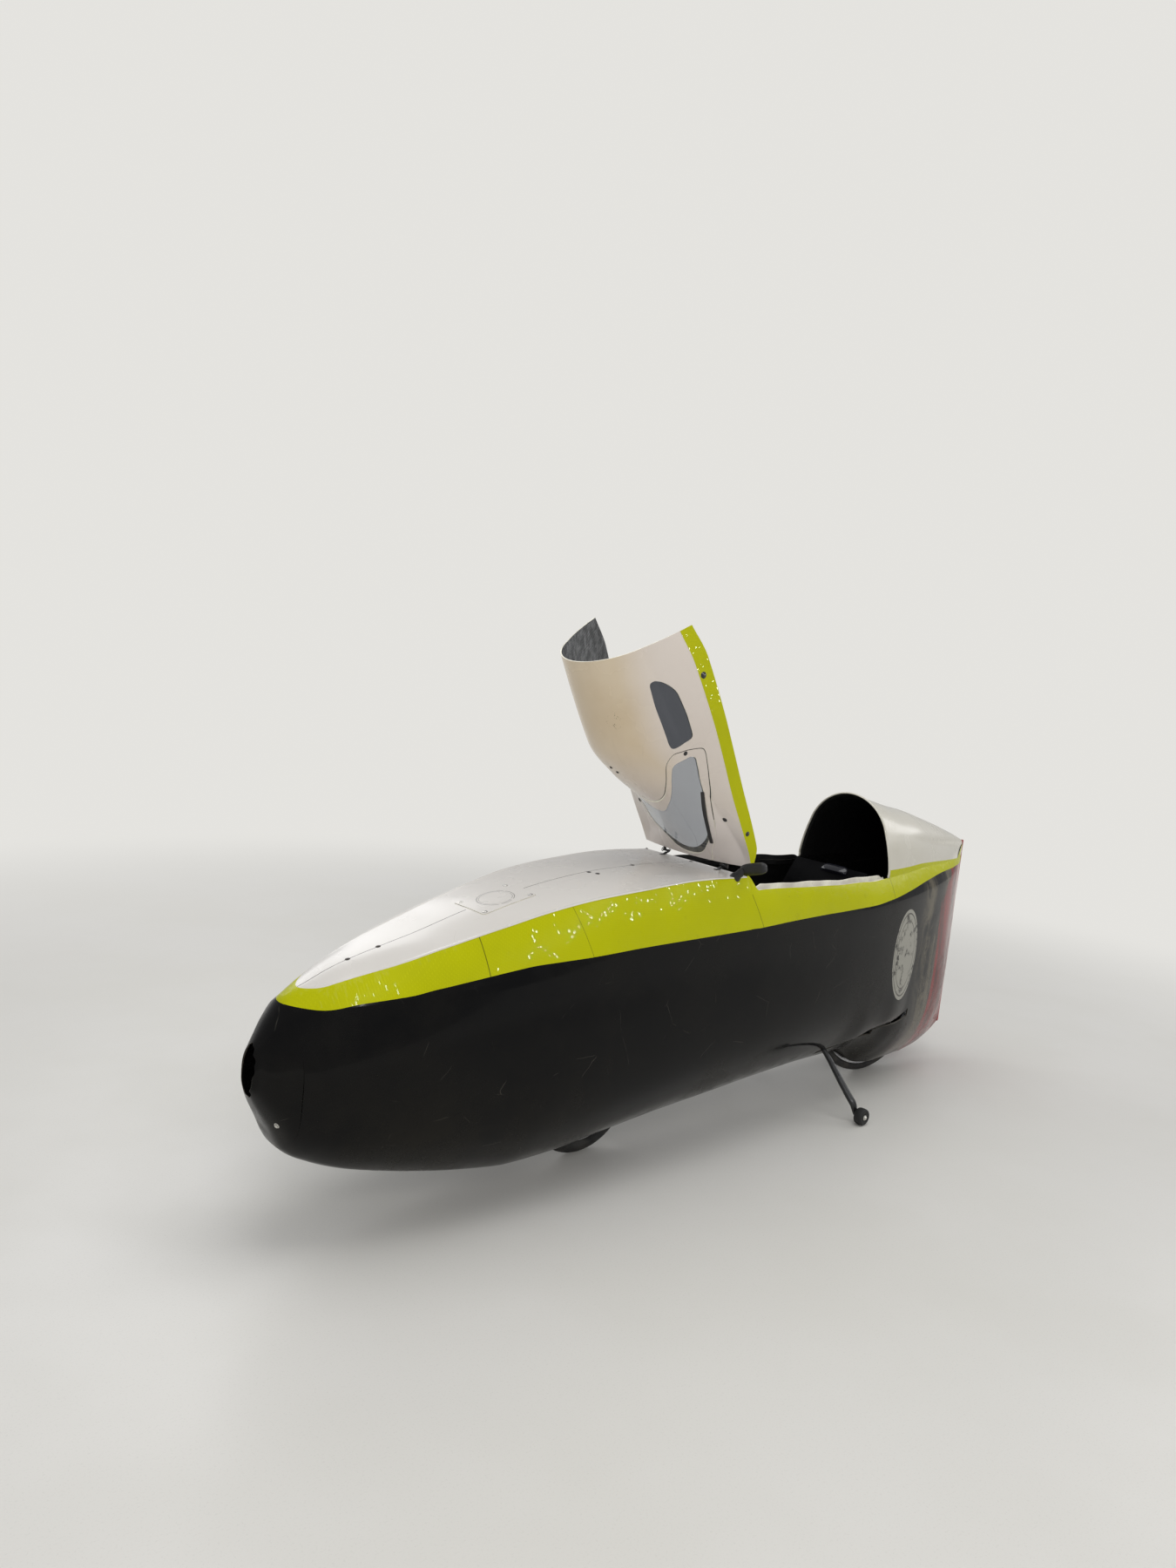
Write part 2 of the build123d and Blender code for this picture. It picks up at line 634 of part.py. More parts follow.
# Handlebar: a stem from the steerer back to a cross bar with two grips
with BuildPart() as handlebar:
    with BuildLine() as stem_line:
        FilletPolyline(on_steerer(STEERER_TOP), on_steerer(STEERER_TOP + 60), BAR_MIDDLE, radius=40)
    with BuildSketch(Plane(origin=stem_line.line @ 0, z_dir=stem_line.line % 0)):
        Circle(STEM_R)
    sweep()
    with BuildLine() as bar_line:
        bar_x, bar_z = BAR_MIDDLE[0], BAR_MIDDLE[2]
        FilletPolyline((bar_x - GRIP_L, -BAR_HALF, bar_z), (bar_x, -BAR_HALF, bar_z),
                       (bar_x, BAR_HALF, bar_z), (bar_x - GRIP_L, BAR_HALF, bar_z), radius=BAR_BEND)
    with BuildSketch(Plane(origin=bar_line.line @ 0, z_dir=bar_line.line % 0)):
        Circle(BAR_R)
    sweep()
save(handlebar.part, "handlebar")
with BuildPart() as grips:
    for side, sign in SIDES:
        grip_y = sign * BAR_HALF
        add(bar((bar_x - GRIP_L - GRIP_CAP, grip_y, bar_z), (bar_x - GRIP_FRONT, grip_y, bar_z), GRIP_R))
    add(handlebar.part, mode=Mode.SUBTRACT)
save(grips.part, "grips")

# Seat, one bent shell from under the thighs to the head
with BuildPart() as seat:
    with BuildSketch(along(0)):
        with BuildLine():
            seat_line = FilletPolyline(*SEAT_PATH, radius=SEAT_BEND)
            offset(seat_line, amount=SEAT_WALL / 2, side=Side.BOTH)
        make_face()
    extrude(amount=SEAT_HALF, both=True)
save(seat.part, "seat")

with BuildPart() as headrest:
    with Locations(Plane(origin=HEADREST, x_dir=(0.545, 0, 0.838), z_dir=(0.838, 0, -0.545))):
        Box(HEADREST_H, HEADREST_W, HEADREST_T)
    fillet(headrest.edges().filter_by(Axis.Y, reverse=True), 9)
    add(seat.part, mode=Mode.SUBTRACT)
save(biggest(headrest.part), "headrest")

# Main frame: boom, head tube, spine under the seat, seat posts, stays and dropouts
with BuildPart() as main_frame:
    with BuildLine() as spine_line:
        FilletPolyline(on_steerer(HEAD_MIDDLE), *SPINE_PATH, radius=SPINE_BEND)
    with BuildSketch(Plane(origin=spine_line.line @ 0, z_dir=spine_line.line % 0)):
        Circle(SPINE_R)
    sweep()
    add(bar((CRANK_X, 0, CRANK_Z), on_steerer(HEAD_MIDDLE), SPINE_R))
    add(bar(on_steerer(HEAD_LOW), on_steerer(HEAD_HIGH), HEAD_R))
    add(bar(on_steerer(HEAD_LOW), on_steerer(HEAD_HIGH), STEERER_R + BORE_PLAY), mode=Mode.SUBTRACT)
    boss_half = BOSS_PITCH / 2 + BOSS_EDGE
    add(block((BOSS_X - boss_half, -BOSS_PLATE_HALF, CRANK_Z),
              (BOSS_X + boss_half, BOSS_PLATE_HALF, BOSS_Z)))
    for hole_x in (BOSS_X - BOSS_PITCH / 2, BOSS_X + BOSS_PITCH / 2):
        add(bar((hole_x, 0, BOSS_Z - BOSS_DEPTH), (hole_x, 0, BOSS_Z), BOSS_HOLE_R), mode=Mode.SUBTRACT)
    add(disc(CRANK_X, CRANK_Z, SHELL_R, -SHELL_HALF, SHELL_HALF))
    add(disc(CRANK_X, CRANK_Z, SPINDLE_R + BORE_PLAY, -SHELL_HALF, SHELL_HALF), mode=Mode.SUBTRACT)
    back_foot, end = SPINE_PATH[-2:]
    add(bar((FRONT_POST_X, 0, back_foot[2]), (FRONT_POST_X, 0, FRONT_POST_Z), POST_R))
    add(bar(back_foot, BACK_POST_TOP, BACK_POST_R))
    add(bar((end[0], -STAY_Y, end[2]), (end[0], STAY_Y, end[2]), POST_R))
    for side, sign in SIDES:
        add(bar((end[0], sign * STAY_Y, end[2]), (REAR_X, sign * STAY_Y, REAR_R), STAY_R))
        low, high = sorted((sign * (REAR_HUB_W / 2 + 1), sign * (STAY_Y + 6)))
        add(disc(REAR_X, REAR_R, DROPOUT_R, low, high))
    add(disc(REAR_X, REAR_R, AXLE_R, -STAY_Y - 14, STAY_Y + 14))
    add(bar((SHAFT_X, 0, SHAFT_Z + 60), (SHAFT_X, SHAFT_Y[1] + 8, SHAFT_Z), 9))
    add(disc(SHAFT_X, SHAFT_Z, 13, SHAFT_Y[1] + 1, SHAFT_Y[1] + 12))
    add(disc(SHAFT_X, SHAFT_Z, AXLE_R, SHAFT_Y[0] - 4, SHAFT_Y[1] + 5))
    add(seat.part, mode=Mode.SUBTRACT)
save(biggest(main_frame.part), "main_frame")

# Crankset: spindle, two arms and the chainring; the pedals stand on the arms
crank_tips = {}
with BuildPart() as crankset:
    add(disc(CRANK_X, CRANK_Z, SPINDLE_R, -ARM_Y[1], ARM_Y[1]))
    add(disc(CRANK_X, CRANK_Z, RING_R - CHAIN_H / 2 - CHAIN_PLAY, RING_Y - SPROCKET_T / 2,
             RING_Y + SPROCKET_T / 2))
    for i in range(RING_HOLES):
        angle = 2 * math.pi * i / RING_HOLES
        hole_x = CRANK_X + RING_HOLE_AT * math.cos(angle)
        hole_z = CRANK_Z + RING_HOLE_AT * math.sin(angle)
        add(disc(hole_x, hole_z, RING_HOLE_R, RING_Y - SPROCKET_T, RING_Y + SPROCKET_T), mode=Mode.SUBTRACT)
    for side, sign in SIDES:
        tip_x = CRANK_X + sign * CRANK_ARM
        low, high = sorted((sign * ARM_Y[0], sign * ARM_Y[1]))
        arm_low = (min(CRANK_X, tip_x), low, CRANK_Z - ARM_HALF)
        arm_high = (max(CRANK_X, tip_x), high, CRANK_Z + ARM_HALF)
        add(block(arm_low, arm_high))
        add(disc(tip_x, CRANK_Z, ARM_END_R, low, high))
        add(disc(CRANK_X, CRANK_Z, ARM_EYE_R, low, high))
        crank_tips[sign] = tip_x
save(crankset.part, "crankset")
with BuildPart() as pedals:
    for side, sign in SIDES:
        y_in, y_out = sign * ARM_Y[1], sign * PEDAL_Y
        add(disc(crank_tips[sign], CRANK_Z, AXLE_R, min(y_in, y_out), max(y_in, y_out)))
        low, high = sorted((sign * (ARM_Y[1] + PEDAL_GAP), y_out))
        add(block((crank_tips[sign] - PEDAL_HALF_L, low, CRANK_Z - PEDAL_HALF_W),
                  (crank_tips[sign] + PEDAL_HALF_L, high, CRANK_Z + PEDAL_HALF_W)))
save(pedals.part, "pedals")

# Jackshaft under the seat, and the two chain loops it joins
with BuildPart() as jackshaft:
    add(disc(SHAFT_X, SHAFT_Z, 10, SHAFT_Y[0], SHAFT_Y[1]))
    for y in (RING_Y, REAR_CHAIN_Y):
        add(disc(SHAFT_X, SHAFT_Z, SHAFT_R - CHAIN_H / 2 - CHAIN_PLAY, y - SPROCKET_T / 2,
                 y + SPROCKET_T / 2))
    add(disc(SHAFT_X, SHAFT_Z, AXLE_R + BORE_PLAY, SHAFT_Y[0], SHAFT_Y[1]), mode=Mode.SUBTRACT)
save(jackshaft.part, "jackshaft")
CHAINS = (
    ("front_chain", RING_Y, (CRANK_X, CRANK_Z, RING_R), (SHAFT_X, SHAFT_Z, SHAFT_R)),
    ("rear_chain", REAR_CHAIN_Y, (SHAFT_X, SHAFT_Z, SHAFT_R), (REAR_X, REAR_R, SPROCKET_R)),
)
for name, y, first, second in CHAINS:
    with BuildPart() as chain:
        for grow, mode in ((CHAIN_H / 2, Mode.ADD), (-CHAIN_H / 2, Mode.SUBTRACT)):
            with BuildSketch(along(y)):
                for x, z, radius in (first, second):
                    with Locations((x, z)):
                        Circle(radius + grow)
                make_hull()
            extrude(amount=CHAIN_W / 2, both=True, mode=mode)
    save(chain.part, name)

# Side legs with their castor wheels, and the brackets that carry the pivots
leg_top = Vector(*LEG_TOP)
spine_ahead, spine_behind = SPINE_PATH[-2:]
spine_share = (LEG_TOP[0] - spine_ahead[0]) / (spine_behind[0] - spine_ahead[0])
spine_z = spine_ahead[2] + spine_share * (spine_behind[2] - spine_ahead[2])
spine_middle = Vector(LEG_TOP[0], 0, spine_z)
with BuildPart() as leg_brackets:
    for side, sign in SIDES:
        axis = mirror_y(fold_axis, sign)
        top = mirror_y(leg_top, sign)
        clear_way = mirror_y(fold_back + leg_dir, sign).normalized() * -1
        offset_out = LEG_EYE + BRACKET_T / 2 + PIVOT_GAP
        outer = top + axis * offset_out
        inner = top - axis * offset_out
        add(bar(inner, outer, PIVOT_R))
        for middle in (inner, outer):
            with BuildSketch(Plane(origin=middle, x_dir=clear_way, z_dir=axis)) as plate:
                Circle(BRACKET_R)
                with Locations((BRACKET_REACH, 0)):
                    Circle(BRACKET_BAR_R + 2)
                make_hull()
            extrude(plate.sketch, amount=BRACKET_T / 2, both=True)
        add(bar(inner + clear_way * BRACKET_REACH, outer + clear_way * BRACKET_REACH, BRACKET_BAR_R))
        strut = (inner - spine_middle).normalized()
        add(bar(spine_middle + strut * (SPINE_R + STRUT_GAP), inner - axis * (BRACKET_T / 4), BRACKET_BAR_R))
save(leg_brackets.part, "leg_brackets")

for side, sign in SIDES:
    axis = mirror_y(fold_axis, sign)
    top = mirror_y(leg_top, sign)
    knee = Vector(LEG_KNEE[0], sign * LEG_KNEE[1], LEG_KNEE[2])
    ankle = Vector(CASTOR[0], sign * (CASTOR[1] - CASTOR_W / 2 - ANKLE_GAP), CASTOR[2])
    with BuildPart() as leg:
        run = knee - top
        shank = Plane(origin=top, x_dir=axis, z_dir=run)
        add(shank * Box(LEG_TUBE, LEG_TUBE, run.length, align=(Align.CENTER, Align.CENTER, Align.MIN),
                        mode=Mode.PRIVATE))
        add(Pos(knee.X, knee.Y, knee.Z) * Sphere(LEG_KNEE_R, mode=Mode.PRIVATE))
        drop = ankle - knee
        shin = Plane(origin=knee, x_dir=(1, 0, 0), z_dir=drop)
        add(shin * Box(LEG_TUBE, LEG_SHIN_T, drop.length + LEG_TUBE / 2,
                       align=(Align.CENTER, Align.CENTER, Align.MIN), mode=Mode.PRIVATE))
        add(bar(ankle, (CASTOR[0], sign * (CASTOR[1] + CASTOR_W / 2 + 4), CASTOR[2]), CASTOR_PIN))
        add(bar(top - axis * LEG_EYE, top + axis * LEG_EYE, LEG_EYE_R))
        add(bar(top - axis * LEG_TUBE, top + axis * LEG_TUBE, PIVOT_R + BORE_PLAY), mode=Mode.SUBTRACT)
    save(leg.part, "leg_" + side)
    low, high = sorted((sign * (CASTOR[1] - CASTOR_W / 2), sign * (CASTOR[1] + CASTOR_W / 2)))
    with BuildPart() as castor:
        add(disc(CASTOR[0], CASTOR[2], CASTOR_R, low, high))
        fillet(castor.edges(), CASTOR_ROUND)
        add(disc(CASTOR[0], CASTOR[2], CASTOR_PIN + BORE_PLAY, low, high), mode=Mode.SUBTRACT)
    save(castor.part, "castor_" + side)

# Rear-view mirror on the deck's left edge ahead of the canopy
with BuildPart() as mirror_left:
    with Locations(MIRROR):
        Box(*MIRROR_SIZE)
    fillet(mirror_left.edges(), MIRROR_SIZE[0] * MIRROR_ROUND)
    foot = Vector(*MIRROR_FOOT)
    arm_end = (MIRROR[0], MIRROR[1] - MIRROR_ARM_IN, MIRROR[2] - MIRROR_ARM_R)
    add(bar(foot, arm_end, MIRROR_ARM_R))
    below, above = MIRROR_BASE_H
    add(bar(foot - Vector(0, 0, below), foot + Vector(0, 0, above), MIRROR_BASE_R))
    add(deck.part, mode=Mode.SUBTRACT)
    add(lime_bands["left"], mode=Mode.SUBTRACT)
save(biggest(mirror_left.part), "mirror_left")

# Canopy hinges: the deck's half holds the pin, the canopy's half turns on it
with BuildPart() as deck_hinges:
    for side, sign in SIDES:
        low, high = sorted((sign * HINGE_Y, sign * (HINGE_Y - HINGE_W)))
        add(disc(HINGE_X, HINGE_Z, HINGE_R, low, high))
        add(block((HINGE_X - 1, low, HINGE_Z - HINGE_DROP), (HINGE_X + HINGE_LEAF_T, high, HINGE_Z)))
        add(block((HINGE_X, low, HINGE_Z - HINGE_DROP),
                  (HINGE_X + HINGE_LEAF_L, high, HINGE_Z - HINGE_DROP / 2)))
        low, high = sorted((sign * HINGE_Y, sign * (HINGE_Y + HINGE_W)))
        add(disc(HINGE_X, HINGE_Z, HINGE_PIN_R, low, high))
    add(deck.part, mode=Mode.SUBTRACT)
save(deck_hinges.part, "deck_hinges")


def canopy_hinge(sign):
    """Knuckle and strap of one hinge, up to the inside of the closed canopy."""
    low, high = sorted((sign * (HINGE_Y + PIVOT_GAP), sign * (HINGE_Y + HINGE_W - 1)))
    with BuildPart() as strap:
        add(disc(HINGE_X, HINGE_Z, HINGE_R, low, high))
        add(block((HINGE_X - STRAP_L, low, HINGE_Z - STRAP_H[0]), (HINGE_X, high, HINGE_Z + STRAP_H[1])))
        add(disc(HINGE_X, HINGE_Z, HINGE_PIN_R + BORE_PLAY, low, high), mode=Mode.SUBTRACT)
        add(canopy_closed.part, mode=Mode.SUBTRACT)
    return biggest(strap.part)


canopy_hinges = Part(children=[canopy_hinge(sign) for side, sign in SIDES])
save(opened(canopy_hinges), "canopy_hinges")
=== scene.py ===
# Dressed model of a parked two-wheel velomobile: smooth laminate shells with their paint, panes, seams and
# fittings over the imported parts. Metres, +X forward, +Y the vehicle's left, +Z up.
import math
import bisect
import bpy
import bmesh
from mathutils import Vector, Matrix


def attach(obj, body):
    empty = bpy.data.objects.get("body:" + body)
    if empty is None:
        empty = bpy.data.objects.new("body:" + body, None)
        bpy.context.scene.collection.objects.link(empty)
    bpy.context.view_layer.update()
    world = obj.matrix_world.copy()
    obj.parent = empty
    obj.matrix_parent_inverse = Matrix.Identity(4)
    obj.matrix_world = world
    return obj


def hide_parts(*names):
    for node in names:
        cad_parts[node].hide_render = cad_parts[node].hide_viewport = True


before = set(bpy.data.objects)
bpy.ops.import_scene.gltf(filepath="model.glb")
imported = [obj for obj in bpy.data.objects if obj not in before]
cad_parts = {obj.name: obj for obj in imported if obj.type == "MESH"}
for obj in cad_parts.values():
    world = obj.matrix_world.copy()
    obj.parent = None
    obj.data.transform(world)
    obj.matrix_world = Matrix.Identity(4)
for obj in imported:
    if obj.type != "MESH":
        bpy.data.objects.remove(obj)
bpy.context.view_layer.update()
MM = 0.001
SIDES = (("left", 1), ("right", -1))
WALL = 0.004
TAIL_X = -1397


def metres(rows):
    return [tuple(v * MM for v in row) for row in rows]


# Shape tables in millimetres, a row for each station along X, as in the part's source
# Hull: X, crown Z, then Y and Z of the edge, the band's foot, the widest side and the foot, keel Z
HULL = metres((
    (1320, 556, 20, 552, 52, 532, 112, 385, 60, 234, 219),
    (1265, 584, 46, 576, 88, 542, 141, 382, 76, 203, 186),
    (1200, 612, 72, 599, 122, 553, 164, 380, 90, 177, 161),
    (1100, 641, 102, 626, 156, 565, 188, 382, 100, 151, 133),
    (1000, 667, 122, 654, 182, 575, 206, 385, 110, 131, 110),
    (870, 706, 143, 690, 202, 590, 222, 388, 117, 109, 84),
    (740, 739, 160, 724, 217, 604, 235, 392, 120, 93, 68),
    (600, 766, 180, 752, 226, 615, 242, 397, 119, 95, 62),
    (440, 785, 193, 769, 231, 625, 246, 402, 117, 108, 65),
    (250, 792, 196, 782, 234, 631, 248, 408, 117, 124, 87),
    (62, 790, 197, 783, 235, 635, 248, 412, 119, 137, 106),
    (14, 790, 211, 733, 235, 636, 248, 413, 119, 140, 109),
    (-170, 790, 210, 733, 232, 643, 245, 417, 116, 150, 121),
    (-400, 790, 199, 734, 224, 650, 236, 424, 108, 156, 132),
    (-570, 790, 187, 738, 215, 656, 224, 428, 98, 151, 134),
    (-664, 978, 177, 745, 207, 661, 215, 430, 84, 148, 128),
    (-750, 961, 168, 748, 198, 665, 204, 430, 66, 118, 90),
    (-840, 942, 155, 750, 185, 669, 190, 429, 54, 72, 44),
    (-940, 925, 139, 751, 167, 675, 172, 427, 46, 48, 24),
    (-1050, 899, 118, 750, 145, 685, 151, 425, 40, 48, 24),
    (-1170, 869, 91, 748, 113, 700, 120, 423, 34, 58, 33),
    (-1250, 847, 67, 746, 83, 710, 88, 422, 27, 68, 44),
    (-1330, 824, 38, 743, 46, 719, 50, 421, 18, 88, 70),
    (TAIL_X, 802, 9, 740, 10, 724, 11, 420, 9, 114, 108),
))
# Nose: X, crown Z, keel Z, half width, Z of the widest side
NOSE = metres((
    (1352, 515, 276, 88, 390),
    (1378, 470, 322, 58, 396),
    (1392, 448, 350, 34, 400),
    (1402, 440, 358, 30, 400),
))
# Hood: X, Y and Z of its shoulder
HOOD = metres((
    (-664, 146, 868),
    (-750, 139, 860),
    (-840, 129, 850),
    (-940, 115, 836),
    (-1050, 94, 818),
    (-1170, 67, 803),
    (-1250, 47, 797),
    (-1330, 26, 793),
    (TAIL_X, 7, 797),
))
# Canopy: X, then Y and Z of its lower edge, of the top of its lime strip and of its shoulder, crown Z
CANOPY = metres((
    (-656, 181, 757, 175, 796, 140, 902, 1002),
    (-560, 192, 740, 187, 785, 147, 891, 1004),
    (-400, 203, 743, 198, 784, 157, 867, 1000),
    (-290, 207, 748, 202, 787, 152, 848, 958),
    (-170, 209, 752, 204, 791, 152, 818, 886),
    (-60, 211, 754, 206, 789, 166, 793, 838),
    (0, 211, 757, 206, 787, 176, 782.5, 815),
    (50, 207, 784, 203, 789, 190, 791, 804),
))
# X, and how far the upper edge of the lime lies above the rows of the hull
EDGE_RISE = metres(((1330, 0), (1200, 2), (1000, 8), (900, 8), (790, 6.5), (250, 7), (62, 8), (30, 15),
                    (0, 18), (-100, 16), (-200, 12), (-285, 9), (-380, 4), (-480, 2), (-580, -5),
                    (-700, -8.5), (-820, -6), (-930, -1), (-1100, 0), (TAIL_X, 0)))
# X, and the share of the lime band that the black covers at its foot, in thousandths
BLACK_RISE = metres(((1330, 0), (1260, 0), (1200, 80), (1100, 85), (1040, 145), (960, 170), (820, 177),
                     (720, 135), (620, 100), (500, 87), (260, 75), (62, 82), (14, 112), (-270, 140),
                     (-460, 118), (-560, 105), (-670, 150), (-790, 280), (-930, 440), (-1090, 560),
                     (-1250, 450), (TAIL_X, 100)))
HINGE = Vector((0.060, 0.0, 0.800))
OPEN = math.radians(119.5)
# Outlines of the panes and of the screen's frame, X and Z
WINDSCREEN = metres(((-326, 843), (-322, 901), (-278, 903), (-233, 896), (-172, 881), (-128, 867),
                     (-112, 930), (45, 930), (44, 805.5), (34, 807), (11, 808.5), (-11, 811), (-53, 817),
                     (-109, 826), (-203, 834), (-245, 839)))
SCREEN_FRAME = metres(((-343, 826), (-352, 876), (-356, 895), (-347, 908), (-328, 917), (-258, 912),
                       (-182, 895), (-150, 882), (-150, 960), (60, 960), (60, 801), (36, 803.5),
                       (8, 805.5), (-28, 808.5), (-62, 813), (-148, 818), (-245, 822), (-331, 819)))
SIDE_WINDOW = metres(((-562, 910), (-564, 894), (-555, 879), (-537, 863), (-514, 850), (-445, 842),
                      (-385, 840), (-376, 845), (-369, 867), (-368, 898), (-387, 905), (-405, 906),
                      (-497, 912)))


# Curves through the tables
def pchip(xs, ys):
    """Smooth curve through points that never overshoots between two of them."""
    count = len(xs)
    step = [xs[i + 1] - xs[i] for i in range(count - 1)]
    slope = [(ys[i + 1] - ys[i]) / step[i] for i in range(count - 1)]
    tangent = [slope[0]] + [0.0] * (count - 2) + [slope[-1]]
    for i in range(1, count - 1):
        if slope[i - 1] * slope[i] > 0:
            w1 = 2 * step[i] + step[i - 1]
            w2 = step[i] + 2 * step[i - 1]
            tangent[i] = (w1 + w2) / (w1 / slope[i - 1] + w2 / slope[i])

    def value(x):
        x = min(max(x, xs[0]), xs[-1])
        low = min(bisect.bisect_right(xs, x), count - 1) - 1
        t = (x - xs[low]) / step[low]
        u = 1 - t
        return ((1 + 2 * t) * u * u * ys[low] + t * u * u * step[low] * tangent[low]
                + t * t * (3 - 2 * t) * ys[low + 1] - t * t * u * step[low] * tangent[low + 1])
    return value


def curves(rows):
    rows = sorted(rows)
    xs = [row[0] for row in rows]
    return [pchip(xs, [row[k] for row in rows]) for k in range(1, len(rows[0]))]


def smooth(low, high, x):
    t = min(max((x - low) / (high - low), 0.0), 1.0)
    return t * t * (3 - 2 * t)


def smooth_down(high, low, x):
    return 1 - smooth(low, high, x)


def mix(a, b, t):
    return a + (b - a) * t


def nose_rows():
    """The front section of the hull drawn in to the rings of the nose."""
    x0, top0, ey, ez, by, bz, half0, zw0, fy, fz, low0 = HULL[0]
    made = []
    for x, top, low, half, zw in NOSE:
        def z_at(z):
            if z >= zw0:
                return zw + (z - zw0) * (top - zw) / (top0 - zw0)
            return zw + (z - zw0) * (zw - low) / (zw0 - low0)
        k = half / half0
        made.append((x, top, ey * k, z_at(ez), by * k, z_at(bz), half, zw, fy * k, z_at(fz), low))
    return made


ALL_ROWS = HULL + nose_rows()
BAND_Y, BAND_Z, SIDE_Y, SIDE_Z, FOOT_Y, FOOT_Z, KEEL = curves(ALL_ROWS)[3:]
DECK_ROWS = [row for row in ALL_ROWS if row[0] > 0.05]
DECK_CROWN, DECK_Y, DECK_Z = curves([row[:4] for row in DECK_ROWS])
RIM_Y, RIM_Z = curves([(row[0], row[2], row[3]) for row in HULL if row[0] < 0.05])
HOOD_CROWN = curves([row[:2] for row in HULL if row[0] < -0.6])[0]
SHOULDER_Y, SHOULDER_Z = curves(HOOD)
RIM_STEP = (0.016, 0.060)
RISE = curves(EDGE_RISE)[0]
BLACK_OVER = curves(BLACK_RISE)[0]


def edge(x):
    """Where the lime band begins: the deck's edge, the cockpit's rim or the hood's foot."""
    rise = RISE(x)
    if x >= RIM_STEP[1]:
        return DECK_Y(x), min(DECK_Z(x) + rise, DECK_CROWN(x) - 0.002)
    if x <= RIM_STEP[0]:
        return RIM_Y(x), RIM_Z(x) + rise
    t = smooth(RIM_STEP[0], RIM_STEP[1], x)
    return mix(RIM_Y(0.014), DECK_Y(0.062), t), mix(RIM_Z(0.014), DECK_Z(0.062), t) + rise


def bezier(points, t):
    a, b, c, d = points
    u = 1 - t
    return tuple(u**3 * p + 3 * u * u * t * q + 3 * u * t * t * r + t**3 * s
                 for p, q, r, s in zip(a, b, c, d))


def arc_to(y, z, crown, t):
    """Point at share t of the arc from the crown out to (y, z)."""
    rise = max(crown - z, 1e-5)
    radius = (y * y + rise * rise) / (2 * rise)
    angle = math.asin(min(1.0, y / radius)) * t
    return radius * math.sin(angle), crown - radius * (1 - math.cos(angle))


def upper_point(x, k):
    """Left half of the upper shell: k from 0 at the centre to 1 at the edge, on to 2 at the black hull."""
    y0, z0 = edge(x)
    if k <= 1:
        return arc_to(y0, z0, DECK_CROWN(x), k)
    y1, z1 = BAND_Y(x), BAND_Z(x)
    t = k - 1
    bulge = 0.035 * math.hypot(y1 - y0, z1 - z0)
    cy, cz = (y0 + y1) / 2 + 2 * bulge, (z0 + z1) / 2 + 0.6 * bulge
    u = 1 - t
    return u * u * y0 + 2 * u * t * cy + t * t * y1, u * u * z0 + 2 * u * t * cz + t * t * z1


def lower_point(x, k):
    """Left half of the black hull: k 2 at the lime band, 3 at its widest, 4 at the foot, 5 at the keel."""
    by, bz, sy, sz = BAND_Y(x), BAND_Z(x), SIDE_Y(x), SIDE_Z(x)
    fy, fz, keel = FOOT_Y(x), FOOT_Z(x), KEEL(x)
    if k <= 3:
        rise = bz - sz
        lean = min((sy - by) * 0.62, rise * 0.2)
        return bezier(((by, bz), (by + lean, bz - 0.36 * rise), (sy, sz + 0.42 * rise), (sy, sz)), k - 2)
    out_y, out_z = 0.80, 0.60
    if k <= 4:
        drop = sz - fz
        reach = 0.42 * math.hypot(sy - fy, drop)
        turn_y = min(fy + out_y * reach, sy)
        return bezier(((sy, sz), (sy, sz - 0.5 * drop), (turn_y, fz + out_z * reach), (fy, fz)), k - 3)
    reach = 0.4 * fy
    turn = (fy - out_y * reach, fz - min(out_z * reach, fz - keel))
    return bezier(((fy, fz), turn, (0.45 * fy, keel), (0, keel)), k - 4)


# Plane in which the side leg folds, and the lip of the hull above the slot that it folds into
LEG_TOP = Vector((-0.474, 0.092, 0.236))
LEG_RUN = (Vector((-0.497, 0.284, 0.076)) - LEG_TOP).normalized()
LEG_BACK = Vector((-0.983, 0.167, 0.090))
FOLD_AXIS = LEG_RUN.cross(LEG_BACK).normalized()
LIP_OUT = 0.011


def lipped(x, y, z):
    """The hull stands out above the leg's slot and ends there in a bevelled lip."""
    if not -0.90 < x < -0.44 or z > 0.42 or y < 0.05:
        return x, y, z
    above = (Vector((x, y, z)) - LEG_TOP).dot(FOLD_AXIS)
    along = smooth(-0.88, -0.74, x) * smooth_down(-0.46, -0.60, x)
    if above <= 0.004:
        sunk = 0.006 * along * math.exp(-((above / 0.05) ** 2))
        return x, y - sunk, z
    swell = smooth(0.004, 0.034, above) * math.exp(-((max(above - 0.034, 0) / 0.085) ** 2))
    share = 0.35 + 0.65 * swell if above < 0.034 else swell
    return x, y + LIP_OUT * along * share, z - 0.004 * along * swell


# Mesh helpers
def link(obj):
    bpy.context.scene.collection.objects.link(obj)
    return obj


def mirrored(v, sign):
    return Vector((v.x, sign * v.y, v.z))


def squared(a, scale_u, scale_v, power_u, power_v):
    """Point of a rounded square at an angle."""
    c, s = math.cos(a), math.sin(a)
    return (math.copysign(abs(c) ** power_u, c) * scale_u, math.copysign(abs(s) ** power_v, s) * scale_v)


def turns(count):
    return [math.tau * i / count for i in range(count)]


def new_object(name, verts, faces, materials, flip=False, sharp=None):
    mesh = bpy.data.meshes.new(name)
    mesh.from_pydata([tuple(v) for v in verts], [], [f[::-1] for f in faces] if flip else faces)
    for material in materials:
        mesh.materials.append(material)
    mesh.polygons.foreach_set("use_smooth", [True] * len(mesh.polygons))
    mesh.update()
    if sharp:
        mesh.set_sharp_from_angle(angle=math.radians(sharp))
    return link(bpy.data.objects.new(name, mesh))


